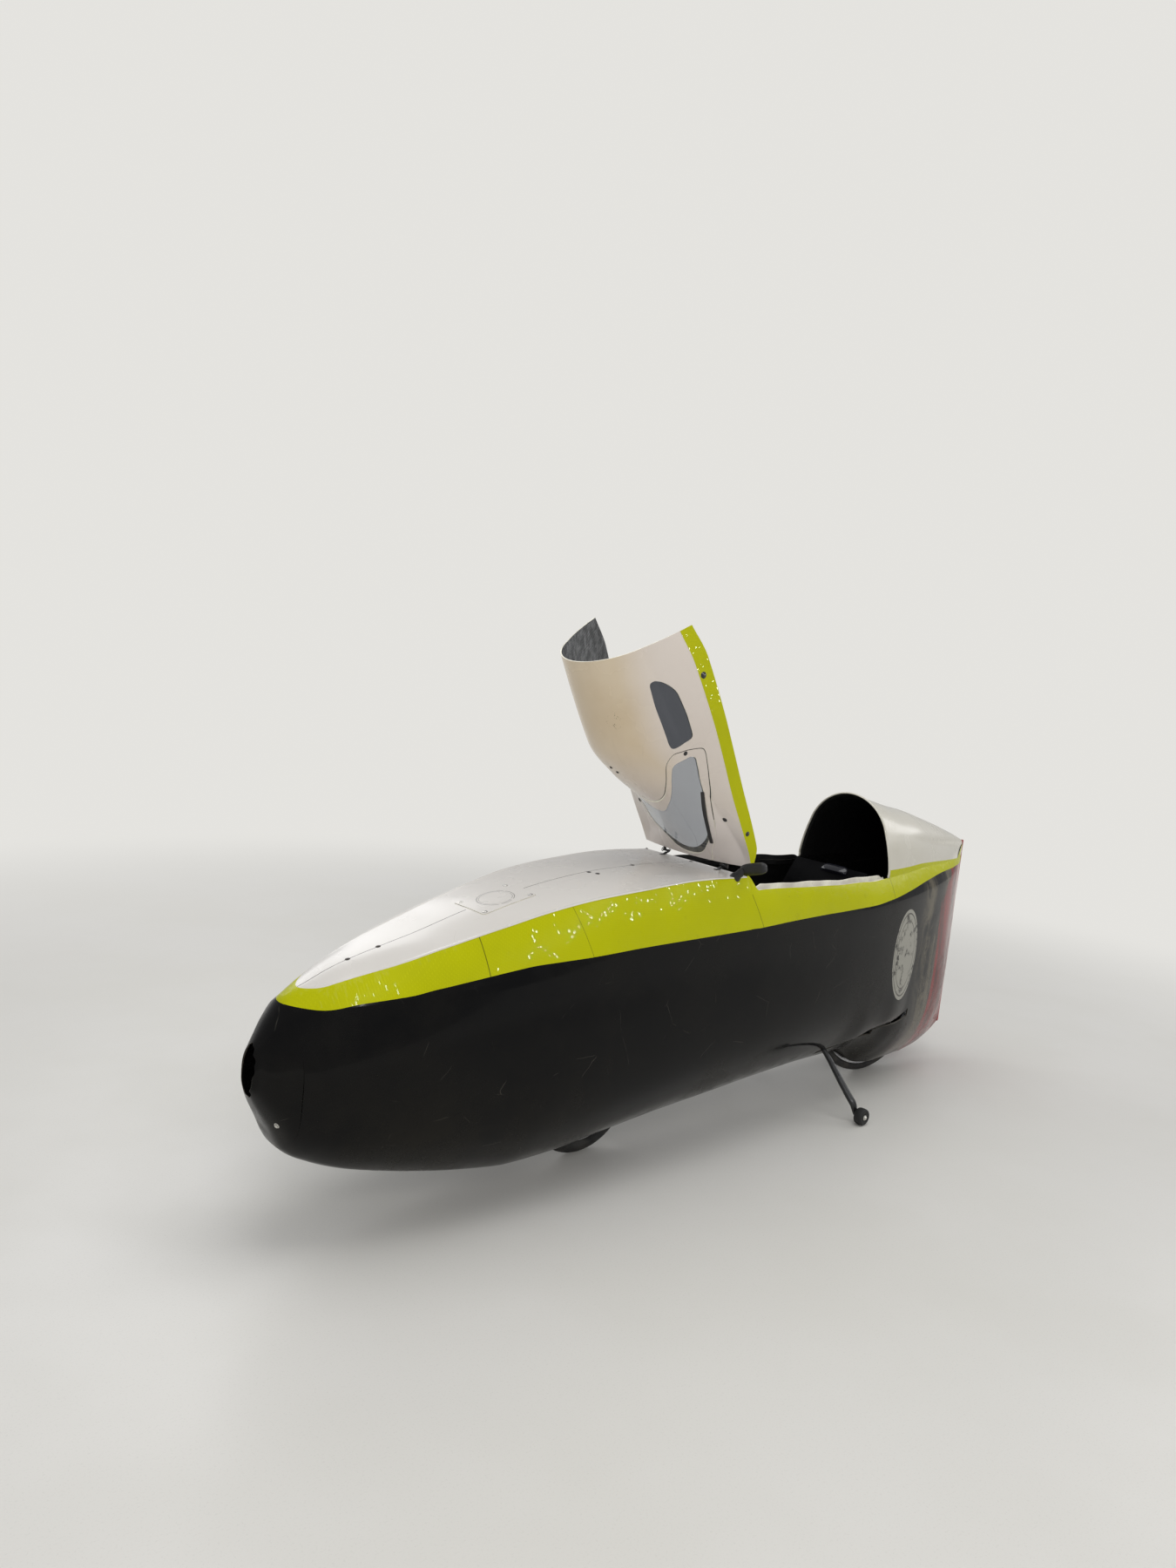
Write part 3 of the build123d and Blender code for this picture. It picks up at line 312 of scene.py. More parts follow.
def outward(obj, sharp=None):
    """Turns all faces outward."""
    bm = bmesh.new()
    bm.from_mesh(obj.data)
    bmesh.ops.recalc_face_normals(bm, faces=bm.faces)
    bm.to_mesh(obj.data)
    bm.free()
    if sharp:
        obj.data.set_sharp_from_angle(angle=math.radians(sharp))
    return obj


def grid_faces(rows, columns, close=False):
    faces = []
    for i in range(rows - 1):
        for j in range(columns if close else columns - 1):
            a, b = i * columns + j, i * columns + (j + 1) % columns
            faces.append((a, b, b + columns, a + columns))
    return faces


def tube_faces(rings, around):
    """Faces of a row of rings, closed at both ends."""
    first = (rings - 1) * around
    ends = [tuple(range(around - 1, -1, -1)), tuple(range(first, first + around))]
    return grid_faces(rings, around, close=True) + ends


def bake(obj):
    """Applies an object's modifiers and keeps its edges crisp."""
    graph = bpy.context.evaluated_depsgraph_get()
    mesh = bpy.data.meshes.new_from_object(obj.evaluated_get(graph))
    obj.modifiers.clear()
    obj.data = mesh
    mesh.polygons.foreach_set("use_smooth", [True] * len(mesh.polygons))
    mesh.set_sharp_from_angle(angle=math.radians(32))
    return obj


def thicken(obj, wall=WALL, rim=2):
    """Gives a sheet its wall: slot 0 outside, 1 on the inner face, and the slot of the cut edge."""
    mod = obj.modifiers.new("wall", "SOLIDIFY")
    mod.thickness = wall
    mod.offset = -1
    mod.use_even_offset = True
    mod.thickness_clamp = 1.0
    mod.material_offset = 1
    mod.material_offset_rim = rim
    return obj


def cut(obj, *cutters, operation="DIFFERENCE"):
    for cutter in cutters:
        mod = obj.modifiers.new("cut", "BOOLEAN")
        mod.object = cutter
        mod.operation = operation
        mod.solver = "EXACT"
    return obj


def keep_in(obj, cutter):
    return cut(obj, cutter, operation="INTERSECT")


def remove(*objects):
    for obj in objects:
        bpy.data.objects.remove(obj, do_unlink=True)


def spread(low, high, count):
    return [low + (high - low) * i / (count - 1) for i in range(count)]


def stations(*runs):
    """Stations along X: runs of (low, high, step) that follow on each other."""
    xs = []
    for low, high, step in runs:
        xs += spread(low, high, max(2, round((high - low) / step) + 1))[(1 if xs else 0):]
    return xs


def ribbon(name, points, half_w, half_t, normal, materials):
    """Flat strip of rounded section that follows points, its width along the side of travel."""
    verts = []
    last = len(points) - 1
    for i, p in enumerate(points):
        ahead = (points[min(i + 1, last)] - points[max(i - 1, 0)]).normalized()
        side = ahead.cross(normal(p) if callable(normal) else Vector(normal)).normalized()
        up = side.cross(ahead).normalized()
        verts += [p + side * (half_w * math.cos(a)) + up * (half_t * math.sin(a)) for a in turns(10)]
    return new_object(name, verts, tube_faces(len(points), 10), materials)


def lathe(name, profile, start, axis, materials, around=28):
    """Turned piece: profile of (radius, distance along the axis from start)."""
    axis = Vector(axis).normalized()
    side = axis.orthogonal().normalized()
    other = axis.cross(side)
    verts = []
    for radius, along in profile:
        verts += [Vector(start) + axis * along + (side * math.cos(a) + other * math.sin(a)) * radius
                  for a in turns(around)]
    faces = [f[::-1] for f in tube_faces(len(profile), around)]
    return new_object(name, verts, faces, materials, sharp=40)


def joined(name, objects):
    """One object out of several that share their materials."""
    bm = bmesh.new()
    materials = []
    for obj in objects:
        first = len(bm.faces)
        bm.from_mesh(obj.data)
        bm.faces.ensure_lookup_table()
        for material in obj.data.materials:
            if material not in materials:
                materials.append(material)
        for face in bm.faces[first:]:
            face.material_index = materials.index(obj.data.materials[face.material_index])
    mesh = bpy.data.meshes.new(name)
    bm.to_mesh(mesh)
    bm.free()
    for material in materials:
        mesh.materials.append(material)
    remove(*objects)
    return link(bpy.data.objects.new(name, mesh))


def place(obj, body, *nodes, slot=None):
    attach(obj, body)
    if nodes:
        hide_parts(*nodes)
    return obj


# Material helpers
SOCKETS = {"color": "Base Color", "rough": "Roughness", "metal": "Metallic", "coat": "Coat Weight",
           "coat_rough": "Coat Roughness", "ior": "IOR", "transmission": "Transmission Weight",
           "specular": "Specular IOR Level", "normal": "Normal", "coat_normal": "Coat Normal"}


def srgb(r, g, b):
    def linear(v):
        v /= 255
        return v / 12.92 if v <= 0.04045 else ((v + 0.055) / 1.055) ** 2.4
    return linear(r), linear(g), linear(b)


class Build:
    """Short names for the nodes of one material."""

    def __init__(self, name):
        self.material = bpy.data.materials.new(name)
        self.material.use_nodes = True
        self.tree = self.material.node_tree
        self.shader = self.tree.nodes["Principled BSDF"]
        self.coords = self.node("ShaderNodeTexCoord", out="Object")

    def put(self, socket, value):
        if isinstance(value, bpy.types.NodeSocket):
            self.tree.links.new(value, socket)
        elif socket.type == "RGBA":
            socket.default_value = (*value, 1.0)
        else:
            socket.default_value = value

    def set(self, **values):
        for key, value in values.items():
            self.put(self.shader.inputs[SOCKETS[key]], value)
        return self.material

    def node(self, kind, inputs=(), out=0, **settings):
        """Adds a node, fills its inputs by name or number and gives one output."""
        node = self.tree.nodes.new(kind)
        for key, value in settings.items():
            setattr(node, key, value)
        for key, value in dict(inputs).items():
            self.put(node.inputs[key], value)
        return node.outputs[out]

    def math(self, operation, *terms):
        return self.node("ShaderNodeMath", enumerate(terms), operation=operation)

    def chain(self, operation, first, *rest):
        for term in rest:
            first = self.math(operation, first, term)
        return first

    def mul(self, *terms):
        return self.chain("MULTIPLY", *terms)

    def add(self, *terms):
        return self.chain("ADD", *terms)

    def sub(self, *terms):
        return self.chain("SUBTRACT", *terms)

    def hypot(self, a, b):
        return self.math("SQRT", self.add(self.mul(a, a), self.mul(b, b)))

    def vec(self, operation, a, b=(0, 0, 0)):
        return self.node("ShaderNodeVectorMath", {0: a, 1: b}, operation=operation)

    def stretched(self, a, scale):
        return self.node("ShaderNodeVectorMath", {0: a, "Scale": scale}, operation="SCALE")

    def axes(self):
        node = self.tree.nodes.new("ShaderNodeSeparateXYZ")
        self.put(node.inputs[0], self.coords)
        return tuple(node.outputs)

    def point(self, x, y, z):
        return self.node("ShaderNodeCombineXYZ", enumerate((x, y, z)))

    def scaled(self, *factors):
        return self.vec("MULTIPLY", self.coords, factors)

    def noise(self, scale, detail=3.0, rough=0.5, source=None):
        return self.node("ShaderNodeTexNoise", {"Vector": source or self.coords, "Scale": scale,
                                                "Detail": detail, "Roughness": rough})

    def cells(self, scale, feature="F1", source=None):
        return self.node("ShaderNodeTexVoronoi", {"Vector": source or self.coords, "Scale": scale},
                         "Distance", feature=feature)

    def band(self, value, low, high, out_low=0.0, out_high=1.0):
        return self.node("ShaderNodeMapRange", {"Value": value, "From Min": low, "From Max": high,
                                                "To Min": out_low, "To Max": out_high},
                         interpolation_type="SMOOTHSTEP")

    def below(self, value, low, high):
        return self.band(value, low, high, 1.0, 0.0)

    def blend(self, share, a, b):
        return self.node("ShaderNodeMix", {0: share, 6: a, 7: b}, 2, data_type="RGBA")

    def tint(self, color, rgb, *shares):
        """Lays a colour over another by the product of the shares."""
        return self.blend(self.mul(*shares), color, srgb(*rgb))

    def bump(self, height, strength, distance):
        return self.node("ShaderNodeBump", {"Strength": strength, "Distance": distance, "Height": height})

    def line(self, value, at, half):
        """1 on a thin line where value is at, 0 beside it."""
        return self.below(self.math("ABSOLUTE", self.sub(value, at)), half, half * 1.4)


def scratches(b, scale=9.0, width=0.004):
    """Thin broken hairlines in several directions."""
    shift = b.stretched(b.point(b.noise(3.0), b.noise(5.0), 0.0), 0.12)
    edges = b.cells(scale, "DISTANCE_TO_EDGE", b.vec("ADD", b.coords, shift))
    return b.mul(b.below(edges, width * 0.4, width), b.band(b.noise(14.0, 2.0), 0.56, 0.66))


def hex_cells(b, u, v, size):
    """Distance from the middle of the hexagon that (u, v) lies in, about 1 at its edge, and that middle."""
    found = []
    for shift in (0.0, 0.5):
        off = [b.sub(b.math("FLOORED_MODULO", b.add(at, shift * step), step), step / 2)
               for at, step in ((u, size), (v, size * math.sqrt(3)))]
        found.append(off + [b.add(b.mul(off[0], off[0]), b.mul(off[1], off[1]))])
    first = b.math("LESS_THAN", found[0][2], found[1][2])
    cu, cv = (b.node("ShaderNodeMix", {0: first, 2: found[1][i], 3: found[0][i]}) for i in (0, 1))
    au, av = b.math("ABSOLUTE", cu), b.math("ABSOLUTE", cv)
    slant = b.add(b.mul(au, 0.5), b.mul(av, 0.866))
    distance = b.math("DIVIDE", b.math("MAXIMUM", slant, au), size / 2)
    return distance, b.point(b.sub(u, cu), b.sub(v, cv), 0.0)


# Materials
def make_white(name, light, shade, extra=None):
    """Warm off-white paint over fibreglass: stains, hairlines and small chips."""
    b = Build(name)
    color = b.blend(b.band(b.noise(2.2, 5.0, 0.62), 0.40, 0.74), srgb(*light), srgb(*shade))
    color = b.tint(color, (150, 138, 116), b.band(b.noise(38.0, 4.0, 0.7), 0.64, 0.82), 0.12)
    color = b.tint(color, (140, 130, 112), scratches(b), 0.26)
    chips = b.mul(b.below(b.cells(21.0), 0.020, 0.038), b.band(b.noise(6.0, 2.0), 0.68, 0.73))
    color = b.tint(color, (96, 88, 74), chips, 0.7)
    height = b.add(b.mul(b.noise(120.0, 2.0), 0.05), b.noise(6.0, 2.0))
    if extra:
        color, height = extra(b, color, height)
    return b.set(color=color, rough=b.band(b.noise(7.0), 0.3, 0.75, 0.22, 0.30), specular=0.4, coat=0.2,
                 coat_rough=0.08, normal=b.bump(height, 0.22, 0.0006))


def deck_marks(b, color, height):
    """Centre seam of the deck and a plain thin ring on the hatch."""
    x, y = b.axes()[:2]
    front = b.mul(b.line(y, 0.0, 0.0011), b.band(x, 0.855, 0.858))
    rear = b.mul(b.line(y, 0.0, 0.0009), b.below(x, 0.682, 0.685))
    seam = b.math("MAXIMUM", front, rear)
    broken = b.band(b.noise(14.0, 3.0, 0.6, b.scaled(1.0, 0.0, 0.0)), 0.30, 0.48, 0.35, 1.0)
    color = b.tint(color, (60, 54, 46), seam, broken, 0.95)
    plan = b.hypot(b.sub(x, 0.770), y)
    ring = b.math("MAXIMUM", b.line(plan, 0.046, 0.0009), b.line(plan, 0.041, 0.0005))
    color = b.tint(color, (60, 58, 56), ring, b.band(b.noise(60.0), 0.36, 0.46), 0.7)
    return color, b.sub(height, b.mul(seam, 1.2))


def canopy_marks(b, color, height):
    """Whiter towards hinge and flanks, specks of dirt in one patch and pale streaks down the crown."""
    y, z = b.axes()[1:]
    whiter = b.math("MAXIMUM", b.band(z, 1.16, 0.90), b.band(y, 0.09, 0.16, 0.0, 0.8))
    color = b.tint(color, (218, 212, 212), whiter, 0.75)
    middle = Matrix.Rotation(OPEN, 4, "Y").to_3x3() @ (Vector((-0.490, 0.066, 0.990)) - HINGE) + HINGE
    reach = b.node("ShaderNodeVectorMath", {0: b.coords, 1: tuple(middle)}, "Value", operation="DISTANCE")
    patch = b.below(b.add(reach, b.mul(b.noise(40.0), 0.02)), 0.020, 0.040)
    specks = b.mul(b.below(b.cells(210.0), 0.22, 0.34), b.band(b.noise(90.0), 0.46, 0.54))
    color = b.tint(color, (84, 76, 64), patch, specks, 0.8)
    streak = b.band(b.noise(60.0, source=b.scaled(0.05, 1.0, 0.05)), 0.60, 0.74)
    color = b.tint(color, (196, 182, 158), streak, b.below(b.math("ABSOLUTE", y), 0.06, 0.10), 0.35)
    return color, height


# Seams of the lime: x at a level, lean of x with height, that level, lower and upper end, half width
LIME_SEAMS = (
    (0.912, 0.05, 0.600, 0.585, 0.700, 0.0009),
    (0.628, 0.356, 0.628, 0.600, 0.760, 0.0005),
    (0.006, 0.475, 0.649, 0.625, 0.740, 0.0008),
    (-0.682, 0.15, 0.700, 0.655, 0.760, 0.0008),
)


def seam_mask(b, x, z):
    mask = 0.0
    for at, lean, level, low, high, half in LIME_SEAMS:
        off = b.sub(x, b.math("MULTIPLY_ADD", z, lean, at - lean * level))
        one = b.mul(b.line(off, 0.0, half), b.band(z, low - 0.002, low), b.below(z, high, high + 0.002))
        mask = b.math("MAXIMUM", mask, one)
    return mask


def make_lime(name, seamed=False):
    """Lime retroreflective sheeting: small hexagonal cells under a gloss film, glints, dirt and seams."""
    b = Build(name)
    x, y, z = b.axes()
    distance, centre = hex_cells(b, x, b.add(b.math("ABSOLUTE", y), z), 0.0042)
    rim = b.band(distance, 0.80, 0.97)
    color = b.blend(b.band(b.noise(2.2, 4.0, 0.6), 0.35, 0.7), srgb(181, 184, 0), srgb(170, 173, 0))
    color = b.tint(color, (198, 201, 20), rim, 0.35)
    color = b.tint(color, (128, 122, 22), b.band(b.noise(14.0, 5.0, 0.7), 0.60, 0.78), 0.30)
    specks = b.mul(b.below(b.cells(44.0), 0.03, 0.07), b.band(b.noise(5.0, 2.0), 0.56, 0.66))
    color = b.tint(color, (70, 66, 20), specks, 0.7)
    if seamed:
        color = b.tint(color, (62, 62, 12), seam_mask(b, x, z), 0.8)
    cell = b.vec("SNAP", centre, (0.00021, 0.00021, 0.00021))
    random = b.node("ShaderNodeTexWhiteNoise", {0: cell}, "Color", noise_dimensions="3D")
    tilt = b.stretched(b.vec("SUBTRACT", random, (0.5, 0.5, 0.5)), 0.20)
    glint = b.vec("NORMALIZE", b.vec("ADD", b.node("ShaderNodeNewGeometry", out="Normal"), tilt))
    height = b.add(b.mul(rim, -0.25), b.noise(7.0, 2.0))
    rough = b.band(b.noise(9.0, 4.0), 0.3, 0.7, 0.24, 0.38)
    return b.set(color=color, rough=rough, specular=0.04, coat=0.20, coat_rough=0.03,
                 coat_normal=glint, normal=b.bump(height, 0.25, 0.0006))


def make_black():
    """Glossy black hull: patchy dust, browner towards the bottom as a painted reflection of the floor,
    streaks, a bare translucent tail, a red trailing edge, a pale round badge.
    """
    b = Build("hull_black")
    x, _, z = b.axes()
    dust = b.band(b.noise(3.2, 6.0, 0.66), 0.36, 0.74)
    # Brown tint strongest near the bottom: part dust, part a painted reflection of the pale floor in the
    # gloss
    color = b.tint(srgb(8, 8, 9), (36, 33, 26), dust, b.band(z, 0.02, 0.42, 1.0, 0.25), 0.9)
    warp = b.stretched(b.point(b.noise(4.0), 0.0, b.noise(5.0)), 1.5)
    streaks = b.noise(1.4, 7.0, 0.72, b.vec("ADD", b.scaled(7.0, 4.0, 1.5), warp))
    tail = b.below(b.add(x, b.mul(b.noise(2.0), 0.16)), -0.90, -0.80)
    bare = b.mul(tail, b.band(streaks, 0.42, 0.60))
    color = b.tint(color, (104, 97, 82), bare, 0.85)
    fibre = b.node("ShaderNodeTexWave", {"Vector": b.coords, "Scale": 95.0, "Distortion": 3.0}, "Fac",
                   bands_direction="DIAGONAL")
    color = b.tint(color, (86, 82, 70), bare, fibre, 0.25)
    smear = b.band(b.noise(9.0, 4.0, 0.6, b.scaled(1.0, 1.0, 0.35)), 0.56, 0.66)
    color = b.tint(color, (20, 19, 18), smear, tail, 0.75)
    # Pale round badge with two rings
    across = b.math("DIVIDE", b.sub(x, -0.796), 0.088)
    upward = b.math("DIVIDE", b.sub(z, 0.478), 0.152)
    radial = b.hypot(across, upward)
    disc = b.mul(b.below(radial, 0.985, 1.0), b.band(b.noise(26.0, 5.0, 0.72), 0.30, 0.48))
    color = b.tint(color, (168, 166, 156), disc, 0.85)
    rings = b.math("MAXIMUM", b.line(radial, 0.90, 0.014), b.line(radial, 0.74, 0.010))
    color = b.tint(color, (34, 33, 31), rings, disc, 0.75)
    # Red trailing edge, streaked with black
    border = b.band(z, 0.60, 0.72, -1.072, -1.175)
    ragged = b.mul(b.sub(b.noise(26.0, 4.0, 0.6, b.scaled(1.0, 1.0, 0.12)), 0.5), 0.090)
    red = b.below(b.sub(b.add(x, ragged), border), -0.012, 0.012)
    tone = b.band(b.noise(15.0, 5.0, 0.65, b.scaled(1.0, 1.0, 0.15)), 0.40, 0.66)
    color = b.blend(b.mul(red, 0.94), color, b.blend(tone, srgb(132, 26, 28), srgb(66, 32, 29)))
    run = b.band(b.noise(34.0, 4.0, 0.6, b.scaled(1.0, 1.0, 0.10)), 0.60, 0.67)
    color = b.tint(color, (22, 17, 17), run, red, 0.88)
    color = b.tint(color, (96, 92, 84), scratches(b, 7.0, 0.0035), 0.35)
    rough = b.band(b.add(b.mul(dust, 0.5), b.noise(18.0, 5.0, 0.7)), 0.3, 1.1, 0.10, 0.34)
    height = b.add(b.noise(5.0, 2.0), b.mul(b.noise(120.0, 2.0), 0.05))
    return b.set(color=color, rough=rough, ior=1.20, coat=0.07, coat_rough=0.05,
                 normal=b.bump(height, 0.30, 0.0011))


def make_laminate(name, light, dark):
    """Bare fibreglass from inside: a plain weave, mottled where the resin lies thick."""
    b = Build(name)
    x, y, z = b.axes()
    threads = [b.math("SINE", b.mul(run, 726.0)) for run in (x, b.add(b.math("ABSOLUTE", y), z))]
    weave = b.mul(*threads)
    mottle = b.band(b.noise(70.0, 6.0, 0.75, b.scaled(1.0, 1.0, 0.5)), 0.40, 0.62)
    color = b.blend(mottle, srgb(*dark), srgb(*light))
    shadow = tuple(v * 0.45 for v in srgb(*dark))
    color = b.blend(b.band(weave, 0.1, 0.8, 0.0, 0.35), color, shadow)
    height = b.add(weave, b.mul(b.noise(40.0, 4.0), 1.5))
    return b.set(color=color, rough=b.band(mottle, 0.0, 1.0, 0.5, 0.32), normal=b.bump(height, 0.5, 0.0006))


def make_acrylic(name, tint, rough):
    """Smoked pane, wiped and finely scratched."""
    b = Build(name)
    wipe = b.band(b.noise(5.0, 5.0, 0.6, b.scaled(1.0, 1.0, 0.4)), 0.4, 0.75)
    return b.set(color=b.tint(srgb(*tint), (150, 152, 156), scratches(b, 12.0, 0.005), 0.4),
                 rough=b.add(b.mul(wipe, 0.12), rough), transmission=1.0, ior=1.45)


def make_plain(name, base, rough, metal=0.0, grain=180.0, wear=None, bump=0.25, coat=0.0, spread_rough=0.10,
               ior=1.45):
    """Satin or grained finish with a little tone variation, dust and worn spots."""
    b = Build(name)
    base = srgb(*base)
    lighter = tuple(min(1.0, v * 1.55 + 0.004) for v in base)
    color = b.blend(b.band(b.noise(12.0, 5.0, 0.6), 0.3, 0.75), base, lighter)
    if wear:
        color = b.tint(color, wear, b.band(b.noise(60.0, 5.0, 0.7), 0.62, 0.74), 0.6)
    worn = b.band(b.noise(24.0, 4.0), 0.3, 0.7, rough - spread_rough, rough + spread_rough)
    return b.set(color=color, rough=worn, metal=metal, coat=coat, ior=ior,
                 normal=b.bump(b.noise(grain * 4, 2.0), bump, 0.0004))


def make_tyre(name, centre, radius):
    """Rubber with a fine tread on its crown, worn dull and patchily dusty."""
    b = Build(name)
    x, y, z = b.axes()
    dx, dz = b.sub(x, centre[0]), b.sub(z, centre[1])
    skew = b.add(b.mul(b.math("ARCTAN2", dz, dx), radius), b.mul(b.math("ABSOLUTE", y), 1.4))
    blocks, grooves = (b.math("SINE", b.mul(*terms)) for terms in ((skew, 780.0), (y, 900.0)))
    crown = b.band(b.hypot(dx, dz), radius - 0.012, radius - 0.004)
    tread = b.mul(b.band(b.math("MAXIMUM", blocks, grooves), -0.2, 0.5), crown)
    color = b.tint(srgb(26, 26, 27), (66, 62, 55), b.band(b.noise(22.0, 5.0, 0.65), 0.35, 0.7), 0.6)
    rough = b.band(b.noise(30.0, 4.0), 0.3, 0.7, 0.55, 0.8)
    return b.set(color=color, rough=rough, normal=b.bump(tread, 0.6, 0.0009))


def make_chain(name):
    """Oily steel links."""
    b = Build(name)
    x, _, z = b.axes()
    link = b.math("SINE", b.mul(b.add(x, b.mul(z, 0.4)), 495.0))
    color = b.blend(b.band(b.noise(50.0, 5.0, 0.7), 0.4, 0.7), srgb(92, 88, 82), srgb(40, 34, 28))
    return b.set(color=color, rough=0.42, metal=0.85, normal=b.bump(b.band(link, -0.2, 0.6), 0.8, 0.0012))


INSIDE = make_laminate("laminate_dark", (20, 20, 20), (11, 11, 11))
CANOPY_INSIDE = make_laminate("laminate_grey", (78, 79, 80), (34, 35, 36))
BLACK = make_black()
BLACK_EDGE = make_plain("hull_cut_edge", (58, 54, 46), 0.6, wear=(104, 98, 84))
LIME = make_lime("lime_sheeting", seamed=True)
LIME_CANOPY = make_lime("lime_sheeting_canopy")
WHITE = make_white("white_paint_hood", (206, 202, 190), (193, 189, 174))
WHITE_DECK = make_white("white_paint_deck", (216, 212, 206), (207, 202, 195), deck_marks)
WHITE_CANOPY = make_white("white_paint_canopy", (211, 196, 172), (202, 184, 156), canopy_marks)
PANE_EDGE = make_plain("pane_edge", (132, 136, 141), 0.45)
RED = make_plain("red_worn", (146, 42, 44), 0.36, wear=(60, 30, 28), coat=0.2)
WHITE_EDGE = make_plain("white_edge", (214, 208, 194), 0.42, wear=(120, 110, 92), bump=0.4)
FASTENER = make_plain("dark_fastener", (58, 54, 50), 0.4, metal=0.8, wear=(120, 112, 100))
BRIGHT = make_plain("bright_fastener", (196, 194, 188), 0.28, metal=0.9)
SATIN_BLACK = make_plain("black_satin", (27, 27, 28), 0.34, wear=(88, 84, 78), coat=0.2)
CASTOR_RUBBER = make_plain("castor_rubber", (30, 30, 30), 0.62, wear=(92, 90, 86), bump=0.5)
PLASTIC = make_plain("mirror_plastic", (24, 24, 25), 0.46, grain=260.0, bump=0.5)
FOAM = make_plain("foam_strip", (46, 45, 45), 0.85, grain=60.0, bump=1.0)
FRAME_PAINT = make_plain("frame_paint", (40, 41, 43), 0.38, wear=(110, 106, 98), coat=0.2)
ALLOY = make_plain("alloy", (176, 177, 180), 0.30, metal=1.0)
STEEL = make_plain("steel", (128, 126, 122), 0.36, metal=1.0, wear=(70, 58, 46))
# Seat near-black with almost no reflection: its dark colour darkened further as painted shade of the
# enclosed cockpit
SEAT_IN_PAINTED_SHADE = make_plain("seat_shell", (4, 4, 5), 0.60, bump=0.15, ior=1.10)
HEAD_BLOCK = make_plain("headrest_shell", (20, 20, 26), 0.16, coat=0.4, bump=0.15)
GRIP = make_plain("grip_rubber", (28, 28, 29), 0.72, grain=120.0, bump=0.8)
PANE_SIDE = make_acrylic("smoked_side_pane", (78, 81, 88), 0.05)
PANE_FRONT = make_acrylic("smoked_screen", (160, 163, 168), 0.04)
MIRROR_GLASS = make_plain("mirror_glass", (208, 210, 214), 0.06, metal=1.0, bump=0.02, spread_rough=0.02)
CHAIN = make_chain("chain_steel")


# Camera, light and floor
def set_camera():
    forward = Vector((-0.674, -0.730, -0.116)).normalized()
    right = Vector((-0.739, 0.666, 0.103))
    right = (right - forward * right.dot(forward)).normalized()
    turned = Matrix((right, right.cross(forward), -forward)).transposed().to_4x4()
    turned.translation = Vector((2.506, 2.170, 1.359))
    data = bpy.data.cameras.new("photo_view")
    data.lens = 26.495
    data.sensor_width = 36.0
    data.clip_start = 0.05
    camera = link(bpy.data.objects.new("photo_view", data))
    camera.matrix_world = turned
    bpy.context.scene.camera = camera


# Lamps: name, place, point lit, width and height, power, colour, shows in reflections, lights surfaces
LAMPS = (
    ("overhead", (0.2, 0.2, 3.6), (0.1, 0.0, 0.4), (3.8, 2.6), 56, (1.0, 1.0, 1.0), True, True),
    ("front_left", (2.6, 3.4, 2.4), (0.2, 0.0, 0.5), (2.4, 1.8), 49, (1.0, 0.985, 0.96), False, True),
    ("right", (0.3, -3.4, 2.2), (0.0, 0.0, 0.4), (2.4, 1.6), 24, (1.0, 1.0, 1.0), True, True),
    ("rear", (-3.6, 1.0, 2.2), (-0.6, 0.0, 0.5), (1.8, 1.6), 20, (1.0, 1.0, 1.0), True, True),
    ("tube_middle", (-0.30, 2.13, 1.84), (0.64, 0.19, 0.716), (0.34, 0.10), 7, (1.0, 1.0, 1.0), True, False),
    ("tube_rear", (-1.24, 1.85, 1.47), (0.35, 0.20, 0.758), (0.20, 0.10), 4, (1.0, 1.0, 1.0), True, False),
    ("tube_front", (1.75, 1.42, 2.62), (1.18, 0.13, 0.556), (0.10, 0.55), 6, (1.0, 1.0, 1.0), True, False),
)
BACKGROUND = (0.78, 0.77, 0.74)


def set_lamps():
    for name, at, target, size, power, color, glossy, diffuse in LAMPS:
        data = bpy.data.lights.new(name, "AREA")
        data.shape = "RECTANGLE"
        data.size, data.size_y = size
        data.energy = power
        data.color = color
        lamp = link(bpy.data.objects.new(name, data))
        lamp.location = Vector(at)
        lamp.rotation_euler = (Vector(target) - Vector(at)).to_track_quat("-Z", "Y").to_euler()
        lamp.visible_glossy = glossy
        lamp.visible_diffuse = diffuse


def set_world():
    world = bpy.data.worlds.new("studio")
    bpy.context.scene.world = world
    world.use_nodes = True
    tree = world.node_tree
    base = tree.nodes["Background"]
    base.inputs["Color"].default_value = (0.97, 0.98, 1.0, 1.0)
    base.inputs["Strength"].default_value = 0.42
    seen = tree.nodes.new("ShaderNodeBackground")
    seen.inputs["Color"].default_value = (*BACKGROUND, 1.0)
    path = tree.nodes.new("ShaderNodeLightPath")
    mixer = tree.nodes.new("ShaderNodeMixShader")
    tree.links.new(path.outputs["Is Camera Ray"], mixer.inputs[0])
    tree.links.new(base.outputs[0], mixer.inputs[1])
    tree.links.new(seen.outputs[0], mixer.inputs[2])
    tree.links.new(mixer.outputs[0], tree.nodes["World Output"].inputs["Surface"])


